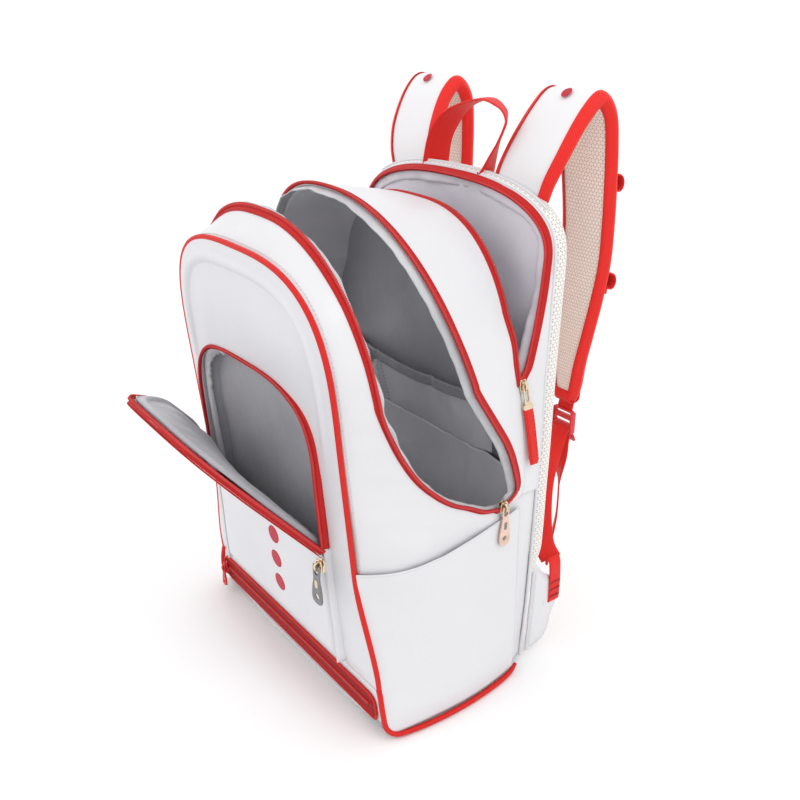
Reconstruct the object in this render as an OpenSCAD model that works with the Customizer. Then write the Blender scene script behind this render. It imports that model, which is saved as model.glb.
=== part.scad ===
// Racket backpack standing on its base with all three zipped compartments open.
// Front is -Y, the wearer's right side pocket is +X, +Z is up.
// The origin is the centre of the base on the floor.

/* [Body] */
// Overall width of the lower box across the side walls
body_w = 289.6; // [240:0.2:340]
// Depth of the base from front lip to back
base_d = 160; // [130:1:200]
// Height of the lower box side walls at the slip pockets
box_h = 186; // [150:1:220]
// Thickness of the coated fabric walls
wall = 3; // [2:0.1:4]
// Width of the red zip edges
zip_w = 8; // [6:0.5:12]
// Radius of the red piping
pipe_r = 3; // [2:0.1:4]

/* [Front section] */
// Half width of the front panel
front_w = 121.5; // [100:0.5:140]
// Top of the front panel
front_top = 409; // [380:1:440]
// Height of the front section hinge line
front_hinge_z = 50; // [40:1:70]
// Half width of the pocket arch
pocket_w = 96; // [80:1:110]
// Height of the pocket fold line
flap_z = 175; // [150:1:200]
// Forward tilt of the open pocket flap
flap_tilt = 40.7; // [20:0.1:60]

/* [Straps] */
// Thickness of the padded strap under its face
strap_t = 8; // [5:0.5:12]
// Thickness of the air mesh on the straps
mesh_t = 3; // [2:0.5:5]
// Width of the adjuster webbing
web_w = 20; // [15:1:25]

/* [Hidden] */
white = [0.93, 0.93, 0.94];
red = [0.80, 0.06, 0.07];
grey = [0.62, 0.62, 0.65];
cream = [0.88, 0.82, 0.76];
gold = [0.80, 0.66, 0.48];
steel = [0.40, 0.40, 0.42];
in_x = body_w / 2 - wall;
out_x = body_w / 2;
leg_n = 6;
arc_n = 28;
gap = 0.35;

// Rim of a compartment: [half width, shoulder height, arch height, squareness,
// y at the floor, slope back, leg foot, foot half width, narrowing height]
rim_panel = [front_w, 291, front_top - 291, 3.1, -74, -0.09, 51, 140, 160];
rim_main_front = [140, 262.5, 171.5, 2.35, -40.2, -0.1078, 51, 140, 60];
rim_main_rear = [147, 227, 218, 2.35, 104.3, -0.2913, 207, 143, 215];
rim_rear_front = [123.3, 235, 191, 2.84, 100.2, -0.0789, 207, 140, 290];
rim_rear_back = [125.5, 388, 53, 2.43, 84, 0.0503, 192, 141, 295];

function ease(t) = let (u = min(1, max(0, t))) u * u * (3 - 2 * u);
function lerp(a, b, t) = a + (b - a) * t;
function leg_x(r, z) = lerp(r[7], r[0], ease((z - r[6]) / (r[8] - r[6])));
// Start angle of the arch: above 0 where the foot is cut off above the shoulder
function arch_start(r) = r[6] <= r[1] ? 0 : asin(pow((r[6] - r[1]) / r[2], r[3] / 2));
function arch_point(r, t, a) =
    [(abs(cos(a)) < 1e-6 ? 0 : sign(cos(a))) * (r[0] * pow(abs(cos(a)), 2 / r[3]) - t * pow(abs(cos(a)), 0.5)),
     r[1] + (r[2] - t) * pow(abs(sin(a)), 2 / r[3])];
function leg_points(r, t) = r[6] > r[1] ? [] :
    [for (i = [0:leg_n - 1]) let (z = lerp(r[6], r[1], i / leg_n)) [leg_x(r, z) - t, z]];
function rim_xz(r, t) =
    let (a0 = arch_start(r), leg = leg_points(r, t),
         arc = [for (i = [0:arc_n]) arch_point(r, t, lerp(a0, 180 - a0, i / arc_n))])
    concat(leg, arc, [for (i = [len(leg) - 1:-1:0]) [-leg[i][0], leg[i][1]]]);
function rim_y(r, z) = r[4] + r[5] * z;
function rim_3d(r, t) = [for (p = rim_xz(r, t)) [p[0], rim_y(r, p[1]), p[1]]];
function with_foot(r, z) = [r[0], r[1], r[2], r[3], r[4], r[5], z, leg_x(r, z), z + 1];
function shifted(r, dy) = [r[0], r[1], r[2], r[3], r[4] + dy, r[5], r[6], r[7], r[8]];
function inset(r, d) = [r[0] - d, r[1], r[2] - d, r[3], r[4], r[5], r[6], r[7] - d, r[8]];
function unit(v) = v / norm(v);
function bow(a, b, i) = unit(b[min(len(b) - 1, i + 1)] - a[max(0, i - 1)]);

function flip(f) = [for (t = f) [t[2], t[1], t[0]]];
function total(v, i = 0) = i >= len(v) ? 0 : v[i] + total(v, i + 1);

// Closed solid through a list of equal-length section loops
module sweep(s) {
    n = len(s);
    m = len(s[0]);
    pts = [for (q = s) for (p = q) p];
    faces = concat(
        [for (i = [0:n - 2]) for (j = [0:m - 1]) [i * m + j, i * m + (j + 1) % m, (i + 1) * m + j]],
        [for (i = [0:n - 2]) for (j = [0:m - 1])
            [i * m + (j + 1) % m, (i + 1) * m + (j + 1) % m, (i + 1) * m + j]],
        [for (j = [1:m - 2]) [0, j + 1, j]],
        [for (j = [1:m - 2]) [(n - 1) * m, (n - 1) * m + j, (n - 1) * m + j + 1]]);
    sense = total([for (t = faces) cross(pts[t[0]] - pts[0], pts[t[1]] - pts[0]) * (pts[t[2]] - pts[0])]);
    polyhedron(points = pts, faces = sense > 0 ? flip(faces) : faces);
}

// Fabric band between two rims, from fraction u0 to u1 of the way across
module band(a, b, t, u0, u1, out = 0) {
    ao = rim_3d(a, -out);
    bo = rim_3d(b, -out);
    ai = rim_3d(a, t);
    bi = rim_3d(b, t);
    sweep([for (i = [0:len(ao) - 1])
        [lerp(ao[i], bo[i], u0), lerp(ai[i], bi[i], u0), lerp(ai[i], bi[i], u1), lerp(ao[i], bo[i], u1)]]);
}

// Round cord along a list of points
module cord(pts, r) {
    sweep([for (i = [0:len(pts) - 1]) let (d = bow(pts, pts, i), side = abs(d[1]) > 0.9 ? [1, 0, 0] : [0, 1, 0],
        a = unit(cross(d, side)), b = cross(d, a))
        [for (k = [0:7]) pts[i] + r * cos(45 * k) * a - r * sin(45 * k) * b]]);
}

// Flat panel filling a rim, thickness t towards the back
module rim_panel_solid(r, t, d) {
    c = cos(atan(r[5]));
    translate([0, r[4], 0])
        rotate([90 - atan(r[5]), 0, 0])
            translate([0, 0, -t])
                linear_extrude(t)
                    polygon([for (p = rim_xz(r, d)) [p[0], p[1] / c]]);
}

module side_plate(x, t, pts) {
    translate([x, 0, 0])
        rotate([90, 0, 90])
            linear_extrude(t)
                polygon(pts);
}

module both_sides() {
    children();
    mirror([1, 0, 0])
        children();
}

// Lower box ------------------------------------------------------------

front_y = -78;
back_y = base_d / 2 + 3;
base_r = 24;

module base_outline(d) {
    x = out_x - d - base_r;
    hull() {
        for (s = [-1, 1]) {
            translate([s * x, front_y + base_r + d])
                circle(r = base_r, $fn = 48);
            translate([s * (x - 2), back_y - base_r - d])
                circle(r = base_r, $fn = 48);
        }
    }
}

module base_panel() {
    color(white)
        linear_extrude(4)
            base_outline(3.6);
}

// Side wall with its tongue up to the lower run of the main zip
side_outline = [
    [front_y + 4, 4.2], [front_y + 0.5, 12], [front_y, 46], [-60, 54], [-60, box_h],
    [-69, 288], [-56, 262], [-40, 238], [-21, 215], [8, 196], [36, 182], [58, 182], [70, 190],
    [rim_y(rim_rear_back, 190) + 5, 190], [back_y + 4, 12], [back_y, 4.2]];

module side_wall_r() {
    color(white)
        side_plate(in_x, wall, side_outline);
}

module side_wall_l() {
    mirror([1, 0, 0])
        side_wall_r();
}

module front_lip() {
    color(white)
        difference() {
            translate([-in_x + 0.1, front_y, 4.2])
                cube([2 * in_x - 0.2, wall, 42]);
            translate([-in_x + 20, front_y - 1, 18])
                cube([2 * in_x - 40, 1.5, 24]);
        }
}

module shoe_zip() {
    color(red)
        difference() {
            translate([-138, front_y - 2.5, 19])
                cube([276, 2.4, 22]);
            for (z = [23.5, 28, 32, 36.5])
                translate([-136, front_y - 3, z - 0.4])
                    cube([272, 1, 0.8]);
        }
}

// Red zip edge along the tongue of each side wall
tongue = [for (p = [[-71, 291], [-56, 265], [-40, 241], [-21, 218], [8, 199], [36, 185]]) p];

module side_zips() {
    color(red)
        both_sides()
            side_plate(in_x, wall + 1, concat(
                [for (p = tongue) [p[0] + 1.2, p[1] - 0.2] + [0.2, 0.4]],
                [for (i = [len(tongue) - 1:-1:0]) tongue[i] + [5.5, 5]]));
}

side_pipe = [
    [front_y - 2, 45], [front_y - 1.5, 28], [front_y + 1, 14], [front_y + 8, 6], [front_y + 22, 3.3],
    [-20, 3.1], [20, 3.1], [60, 3.1], [74, 5], [81, 11], [85, 22]];

module side_pipings() {
    color(red)
        both_sides()
            cord([for (p = side_pipe) [out_x + pipe_r + 0.1, p[0], p[1]]], pipe_r);
}

pocket_in = out_x + 4.6;
pocket_outline = [[-62, 9], [62, 9], [70, 20], [76, 176], [40, 170], [0, 165], [-40, 166], [-62, 172]];
pocket_hollow = [[-58, 15], [58, 15], [64, 22], [70, 190], [-58, 190]];

module side_pocket_r() {
    color(white)
        difference() {
            side_plate(out_x + 0.1, pocket_in + 1.6 - out_x, pocket_outline);
            side_plate(out_x - 1, pocket_in + 1 - out_x, pocket_hollow);
        }
}

module side_pocket_l() {
    mirror([1, 0, 0])
        side_pocket_r();
}

// Back panel and its mesh pad
rim_back = shifted(with_foot(inset(rim_rear_back, -3), 12), 0);

module back_panel() {
    r = [129, 388, 57, 2.43, 84 + 6, 0.0503, 6, 138, 200];
    color(white)
        rim_panel_solid(r, 4, 0);
}

module back_lining() {
    r = [122, 384, 50, 2.43, 84 + 4.3, 0.0503, 10, 132, 200];
    color(grey)
        rim_panel_solid(r, 1.5, 0);
}

module back_mesh() {
    r = [120, 372, 40, 2.6, 84 + 10.2, 0.0503, 96, 124, 200];
    color(cream)
        difference() {
            rim_panel_solid(r, 8, 0);
            translate([-9, 80, 80])
                cube([18, 60, 300]);
        }
}

module rear_gusset() {
    color(white)
        band(shifted(rim_rear_back, 0), shifted(rim_rear_back, 5.6), wall, 0.28, 1);
}

module rear_zip_back() {
    color(red)
        band(
            shifted(with_foot(rim_rear_back, 292), -5),
            shifted(with_foot(rim_rear_back, 292), 1.4), wall, 0, 0.99, 1);
}

module corner_wings() {
    color(white)
        both_sides()
            side_plate(in_x - 1.5, 3.4, [[94, 12], [98, 104], [124, 80], [132, 62], [116, 14]]);
}

module corner_tabs() {
    color(red)
        both_sides()
            side_plate(in_x + 2.1, 1.8, [[116, 60], [131, 57], [127, 98], [119, 98]]);
}

module lower_divider() {
    color(grey)
        translate([-136, 66, 6])
            cube([272, 4, 190]);
}

// Front section --------------------------------------------------------

pocket_y = -101;
pocket_lean = -0.06;
flap_s = 61;
flap_h = 78;
rim_pocket = [
    pocket_w, flap_z + flap_s, flap_h, 3.3, pocket_y - pocket_lean * flap_z, pocket_lean, 62, 100, 160];
pocket_back = shifted(rim_panel, -0.1);

function on_rim(r, z0) = with_foot(r, z0);
rim_pocket_back = [pocket_w, flap_z + flap_s, flap_h, 3.3, rim_panel[4] - 0.1, rim_panel[5], 62, 100, 160];

module ridge(d, t, h) {
    r = [front_w - d, 291, front_top - 291 - d, 3.1, rim_panel[4], rim_panel[5], 235, front_w - d, 236];
    difference() {
        translate([0, -h, 0])
            rim_panel_solid(r, h, 0);
        translate([0, -h - 2, 0])
            rim_panel_solid([r[0] - t, r[1], r[2] - t, r[3], r[4], r[5], 200, r[7] - t, 236], h + 4, 0);
    }
}

module front_panel() {
    color(white)
        difference() {
            union() {
                rim_panel_solid(rim_panel, 4, 3.6);
                difference() {
                    ridge(16, 7, 2);
                    translate([0, -20, 0])
                        rim_panel_solid(
                            [pocket_w + 1, 236, 79, 3.3, rim_panel[4], rim_panel[5], 40, 101, 160], 30, 0);
                }
            }
            translate([0, -4, 0])
                rim_panel_solid(
                    [pocket_w - 4, 236, 74, 3.3, rim_panel[4], rim_panel[5], 66, 94, 160], 12, 0);
        }
}

module pocket_bag() {
    a = [pocket_w - 4.9, 236, 73.1, 3.3, rim_panel[4] + 0.5, rim_panel[5], 66.9, 93.1, 160];
    color(grey)
        difference() {
            rim_panel_solid(a, 24, 0);
            translate([0, -1, 0])
                rim_panel_solid(
                    [a[0] - 1.5, a[1], a[2] - 1.5, a[3], a[4], a[5], 68, a[7] - 1.5, 160], 23.5, 0);
        }
}

// Raised pocket wall: gusset ring plus the lower front wall
module pocket_front() {
    color(white) {
        band(rim_pocket, rim_pocket_back, 3, 0.35, 1);
        difference() {
            rim_panel_solid([98, 150, 18, 8, rim_pocket[4], rim_pocket[5], 62.1, 99, 120], 3, 1.2);
            translate([-120, -130, 170])
                cube([240, 60, 60]);
        }
        translate([-96.5, -96, 62.1])
            cube([193, 96 - 80.5, 2.5]);
    }
}

module pocket_zip() {
    color(red)
        band(with_foot(rim_pocket, flap_z + 6), with_foot(rim_pocket_back, flap_z + 6), 3.4, 0.2, 0.34, 0.4);
}

module front_piping() {
    color(red)
        cord(rim_3d(rim_panel, -0.2), pipe_r);
}

module front_gusset() {
    color(white)
        band(shifted(rim_panel, 3.3), rim_main_front, 2.5, 0, 0.7);
}

module main_zip_front() {
    color(red)
        band(shifted(with_foot(rim_panel, 299), 3.3), with_foot(rim_main_front, 299), 2.5, 0.715, 1, 0.5);
}

// Grey seam lining along the mouth of the front section
module front_lining() {
    color(grey)
        band(
            shifted(inset(with_foot(rim_panel, 120), 3.2), 8),
            inset(with_foot(rim_main_front, 120), 3.2), 1.2, 0.1, 1.06);
}

// Pocket flap, drawn in its own plane and tilted forward
module flap_frame() {
    translate([0, pocket_y, flap_z])
        rotate([flap_tilt, 0, 0])
            children();
}

function flap_outline(d, foot) =
    let (r = [pocket_w, flap_s, flap_h, 3.3, 0, 0, foot, pocket_w, foot + 1])
    rim_xz(r, d);

module flap_plate(y, t, d, foot) {
    translate([0, y + t, 0])
        rotate([90, 0, 0])
            linear_extrude(t)
                polygon(flap_outline(d, foot));
}

module flap_panel() {
    color(white)
        flap_frame()
            flap_plate(-2.5, 3, 3.2, 2.4);
}

module flap_lining() {
    color(grey)
        flap_frame()
            flap_plate(0.6, 3, 5, 3);
}

module flap_zip() {
    color(red)
        flap_frame()
            difference() {
                flap_plate(-2.2, 3.8, 0, 2.4);
                translate([0, -10, 0])
                    flap_plate(0, 20, 2.9, -2);
            }
}

// Middle section -------------------------------------------------------

module mid_band() {
    color(white)
        band(rim_main_rear, rim_rear_front, wall, 0.085, 0.82);
}

module main_zip_rear() {
    color(red)
        band(rim_main_rear, rim_rear_front, wall, 0, 0.08, 0.5);
}

module rear_zip_front() {
    color(red)
        band(with_foot(rim_main_rear, 292), with_foot(rim_rear_front, 292), wall, 0.845, 1, 0.5);
}

module mid_divider() {
    r = inset(with_foot(rim_rear_front, 208), wall + 0.9);
    color(grey)
        rim_panel_solid(shifted(r, -6), 5, 0);
}

module mid_lining() {
    color(grey)
        band(rim_main_rear, rim_rear_front, wall + 3.8, 0.01, 0.6, -wall - 2.8);
}

module sleeve() {
    color(grey)
        difference() {
            translate([-100, 58, 210])
                rotate([4.5, 0, 0])
                    cube([200, 18.6, 62]);
            translate([-96, 61, 212])
                rotate([4.5, 0, 0])
                    cube([192, 13.2, 80]);
        }
}

module label_tab() {
    color(white)
        translate([-84, 53.6, 252])
            rotate([4.5, 0, 0])
                cube([26, 0.8, 14]);
}

// Zip sliders and pulls ------------------------------------------------

// Slider body lying in the XY plane, mouth towards +Y, crown up
module slider_body(l = 11, w = 8.5) {
    difference() {
        translate([-w / 2, -l / 2, 0])
            cube([w, l, 4.4]);
        translate([-w, -l, 1.4])
            cube([(w - 1.6) / 2 + w / 2, 2 * l, 1.6]);
        translate([0.8, -l, 1.4])
            cube([w, 2 * l, 1.6]);
    }
    translate([-1.2, -4.2, 4.35])
        difference() {
            cube([2.4, 8.4, 3.6]);
            translate([-1, 4.2, 1.7])
                rotate([0, 90, 0])
                    cylinder(r = 1.25, h = 5, $fn = 32);
        }
}

// Pull with its cross pin at the origin, hanging towards -Y
module pull_metal(l, w) {
    rotate([0, 90, 0])
        translate([0, 0, -w / 4])
            cylinder(r = 0.8, h = w / 2, $fn = 32);
    for (s = [-1, 1])
        translate([s * w / 4 - 0.8, -l * 0.34, -0.8])
            cube([1.6, l * 0.34, 1.6]);
    translate([0, -l * 0.34, -0.8])
        linear_extrude(1.6)
            difference() {
                translate([-w / 2, -l * 0.62])
                    square([w, l * 0.62]);
                translate([0, -l * 0.48])
                    circle(r = w * 0.27, $fn = 40);
                translate([-w, -l * 0.63])
                    square([w * 0.62, l * 0.1]);
                translate([w * 0.38, -l * 0.63])
                    square([w * 0.62, l * 0.1]);
            }
}

module pull_fabric(l, w) {
    rotate([0, 90, 0])
        translate([0, 0, -w / 4])
            cylinder(r = 0.8, h = w / 2, $fn = 32);
    for (s = [-1, 1])
        translate([s * w / 4 - 0.8, -14, -0.8])
            cube([1.6, 14, 1.6]);
    translate([-w / 2, -18, -1.2])
        cube([w, 5, 2.4]);
}

// Frame of the right-hand sliders: slider back against the side, mouth up, x out of the bag
module on_side(x, y, z, lean = 0) {
    translate([x, y, z])
        rotate([0, -lean, 0])
            rotate([90, 0, 90])
                children();
}

main_slide = [out_x + 1.6, 46, 190];
rear_slide = [127.4, 80, 286];
rear_lean = 14;

module main_slider_r() {
    color(gold)
        on_side(main_slide[0], main_slide[1], main_slide[2])
            slider_body();
}

module main_pull_r() {
    color(gold)
        on_side(main_slide[0] + 6.05, main_slide[1], main_slide[2])
            pull_metal(36, 11);
}

module main_slider_l() {
    mirror([1, 0, 0])
        main_slider_r();
}

module main_pull_l() {
    mirror([1, 0, 0])
        main_pull_r();
}

module rear_slider_r() {
    color(gold)
        on_side(rear_slide[0], rear_slide[1], rear_slide[2], rear_lean)
            slider_body();
}

module rear_pull_r() {
    color(gold)
        on_side(rear_slide[0], rear_slide[1], rear_slide[2], rear_lean)
            translate([0, 0, 6.05])
                pull_fabric(66, 9);
}

module rear_pull_tape_r() {
    color(red)
        on_side(rear_slide[0], rear_slide[1], rear_slide[2], rear_lean)
            translate([-5, -70, 4.95])
                cube([10, 51.9, 2.2]);
}

pocket_slide = [pocket_w + 4.9, pocket_y - 4.6, flap_z - 6];

module pocket_slider() {
    color(gold)
        translate(pocket_slide)
            rotate([90, 0, 0])
                slider_body();
}

module pocket_pull() {
    color(steel)
        translate([pocket_slide[0], pocket_slide[1] - 6.05, pocket_slide[2]])
            rotate([90, 0, 0])
                pull_metal(44, 13);
}

shoe_slide = [-130, front_y - 2.7, 30];

module shoe_slider() {
    color(steel)
        translate(shoe_slide)
            rotate([90, 0, 0])
                slider_body();
}

module shoe_pull() {
    color(steel)
        translate([shoe_slide[0], shoe_slide[1] - 6.05, shoe_slide[2]])
            rotate([90, 0, 0])
                pull_metal(26, 9);
}

// Carrying straps ------------------------------------------------------

// Path of the strap face: [y, z, inner x, outer x]
strap_path = [
    [119, 429, 42, 100], [120, 448, 45, 106], [126, 468, 50, 112], [135, 486, 54, 115], [146, 502, 57, 117],
    [158, 513, 58, 118], [168, 514, 58, 118], [177, 507, 59, 118], [184, 494, 60, 118], [188, 472, 62, 118],
    [191, 440, 65, 118], [193, 405, 68, 118], [194, 370, 69, 117], [193, 335, 70, 113], [192, 300, 70, 107],
    [192, 270, 71, 101], [193, 245, 74, 97], [194, 230, 79, 92]];

function path_dir(p, i) =
    let (a = p[max(0, i - 1)], b = p[min(len(p) - 1, i + 1)]) unit([b[0] - a[0], b[1] - a[1]]);

// Layer of the strap from depth t0 to t1 under its face, between the side limits xa and xb
function strap_section(i, t0, t1, xa, xb) =
    let (q = strap_path[i], d = path_dir(strap_path, i), n = [d[1], -d[0]])
    [[xa, q[0] + n[0] * t0, q[1] + n[1] * t0],
     [xb, q[0] + n[0] * t0, q[1] + n[1] * t0],
     [xb, q[0] + n[0] * t1, q[1] + n[1] * t1], [xa, q[0] + n[0] * t1, q[1] + n[1] * t1]];

strap_i0 = 1;
strap_all = [strap_i0:len(strap_path) - 1];

module strap_r() {
    color(white)
        sweep([for (i = strap_all) let (q = strap_path[i])
            strap_section(i, 0, strap_t, q[2] + 4.2, q[3] - 4.2)]);
}

module strap_mesh_r() {
    color(cream)
        sweep([for (i = strap_all) let (q = strap_path[i])
            strap_section(i, strap_t + 0.1, strap_t + mesh_t, q[2] + 4.2, q[3] - 4.2)]);
}

module strap_binding_r() {
    color(red) {
        for (e = [0, 1])
            sweep([for (i = strap_all) let (q = strap_path[i], x = e == 0 ? q[2] : q[3] - 4)
                strap_section(i, -0.5, strap_t + mesh_t + 0.5, x, x + 4)]);
        translate([79, 183, 221])
            cube([13, 11, 8]);
    }
}

// Webbing loops sewn across the face of the strap, and the band that carries them
module web_loop(y, z, tilt) {
    translate([78, y, z])
        rotate([tilt, 0, 0])
            difference() {
                cube([24, 13, 20]);
                translate([-1, 1.6, 2])
                    cube([26, 9.6, 12]);
                translate([-1, 7, -1])
                    cube([26, 10, 7]);
            }
}

module strap_loops_r() {
    color(red) {
        web_loop(191.9, 432, 3.3);
        web_loop(193.8, 345, -1.6);
    }
}

lock_x = 85.5;
lock_y = 186;
lock_z = 214;

module lock_r() {
    color(red)
        translate([lock_x, lock_y, lock_z]) {
            difference() {
                translate([-13, -2.6, -20])
                    cube([26, 4.6, 26]);
                translate([-10, -5, -16])
                    cube([20, 10, 4]);
                translate([-10, -5, -8])
                    cube([20, 10, 3.6]);
                translate([-14, 1.2, 2])
                    rotate([-20, 0, 0])
                        cube([28, 6, 12]);
            }
            translate([-13, 1.6, -21])
                rotate([24, 0, 0])
                    cube([26, 3, 9]);
        }
}

// Lower webbing from the corner tab to the lock, bowed backwards
lower_path = [
    [137, 125.5, 100.5], [130, 138, 124], [119, 153, 148], [109, 163, 166], [102, 169, 178]];

module lower_webbings() {
    color(red)
        both_sides()
            sweep([for (i = [0:len(lower_path) - 1])
                let (p = lower_path[i], d = bow(lower_path, lower_path, i),
                     s = unit(cross(d, [0, 1, -0.35])), n = cross(s, d), w = web_w / 2)
                [p - w * s - 0.8 * n, p - w * s + 0.8 * n, p + w * s + 0.8 * n, p + w * s - 0.8 * n]]);
}

tail_path = [[186, 193], [182, 178], [172, 150], [165, 118], [161, 88], [163, 62]];

module tail_r() {
    color(red)
        sweep([for (i = [0:len(tail_path) - 1])
            let (q = tail_path[i], d = path_dir(tail_path, i), n = 0.8 * [d[1], -d[0]], xa = lock_x - web_w / 2,
                 xb = lock_x + web_w / 2)
            [[xa, q[0] - n[0], q[1] - n[1]], [xb, q[0] - n[0], q[1] - n[1]],
             [xb, q[0] + n[0], q[1] + n[1]], [xa, q[0] + n[0], q[1] + n[1]]]]);
}

module strap_l() { mirror([1, 0, 0]) strap_r(); }
module strap_mesh_l() { mirror([1, 0, 0]) strap_mesh_r(); }
module strap_binding_l() { mirror([1, 0, 0]) strap_binding_r(); }
module strap_loops_l() { mirror([1, 0, 0]) strap_loops_r(); }
module lock_l() { mirror([1, 0, 0]) lock_r(); }
module tail_l() { mirror([1, 0, 0]) tail_r(); }

// Haul loop: webbing arch standing between the straps
loop_pts = [for (a = [180:-15:0])
    [31 * cos(a) * (1 + 0.12 * sin(a)), 126, 447 + 58 * pow(sin(a), 0.75)]];

module haul_loop() {
    color(red)
        sweep([for (i = [0:len(loop_pts) - 1])
            let (p = loop_pts[i], d = bow(loop_pts, loop_pts, i),
                 n = 0.9 * unit(cross(d, [0, 1, 0])), w = [0, 10, 0])
            [p - w - n, p + w - n, p + w + n, p - w + n]]);
}

base_panel();
side_wall_r();
side_wall_l();
front_lip();
shoe_zip();
side_zips();
side_pipings();
side_pocket_r();
side_pocket_l();
back_panel();
back_lining();
back_mesh();
rear_gusset();
rear_zip_back();
corner_wings();
corner_tabs();
lower_divider();
lower_webbings();
front_panel();
pocket_bag();
pocket_front();
pocket_zip();
front_piping();
front_gusset();
main_zip_front();
front_lining();
flap_panel();
flap_lining();
flap_zip();
mid_band();
main_zip_rear();
rear_zip_front();
mid_divider();
mid_lining();
sleeve();
label_tab();
main_slider_r();
main_pull_r();
main_slider_l();
main_pull_l();
rear_slider_r();
rear_pull_r();
rear_pull_tape_r();
pocket_slider();
pocket_pull();
shoe_slider();
shoe_pull();
strap_r();
strap_mesh_r();
strap_binding_r();
strap_loops_r();
lock_r();
tail_r();
strap_l();
strap_mesh_l();
strap_binding_l();
strap_loops_l();
lock_l();
tail_l();
haul_loop();
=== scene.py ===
import bmesh
import bpy
import math
import mathutils
import numpy as np
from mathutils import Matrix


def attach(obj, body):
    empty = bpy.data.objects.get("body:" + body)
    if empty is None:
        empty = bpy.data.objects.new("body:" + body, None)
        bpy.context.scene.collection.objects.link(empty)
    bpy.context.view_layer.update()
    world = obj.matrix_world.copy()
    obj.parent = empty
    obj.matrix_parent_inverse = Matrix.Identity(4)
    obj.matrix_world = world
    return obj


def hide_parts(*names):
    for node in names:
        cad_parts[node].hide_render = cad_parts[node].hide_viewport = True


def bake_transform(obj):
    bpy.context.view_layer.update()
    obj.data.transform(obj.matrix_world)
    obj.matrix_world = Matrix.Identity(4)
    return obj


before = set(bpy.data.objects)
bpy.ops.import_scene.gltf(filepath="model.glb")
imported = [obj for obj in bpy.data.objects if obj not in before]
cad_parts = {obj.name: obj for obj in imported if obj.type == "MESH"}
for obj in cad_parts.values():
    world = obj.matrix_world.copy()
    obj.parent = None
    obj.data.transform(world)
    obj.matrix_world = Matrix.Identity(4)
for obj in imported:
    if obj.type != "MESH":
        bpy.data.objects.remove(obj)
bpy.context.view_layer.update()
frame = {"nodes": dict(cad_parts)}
nodes = frame["nodes"]
V = lambda *a: np.array(a, float)


# ------------------------------------------------------------------ camera, light, floor
def add_camera():
    cam = bpy.data.cameras.new("cam")
    ob = bpy.data.objects.new("cam", cam)
    bpy.context.collection.objects.link(ob)
    cam.sensor_width = 36
    cam.lens = 40.4
    cam.clip_start = 0.02
    ob.location = (0.6171, -0.4227, 0.5865)
    ob.rotation_euler = (math.radians(90 - 24.35), 0, math.radians(52.55))
    bpy.context.scene.camera = ob


def area(name, loc, target, size, power):
    L = bpy.data.lights.new(name, "AREA")
    L.shape = "DISK"
    L.size = size
    L.energy = power
    ob = bpy.data.objects.new(name, L)
    ob.location = loc
    d = (V(*target) - V(*loc))
    d = d / np.linalg.norm(d)
    ob.rotation_euler = mathutils.Vector(d).to_track_quat("-Z", "Y").to_euler()
    bpy.context.collection.objects.link(ob)


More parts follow.
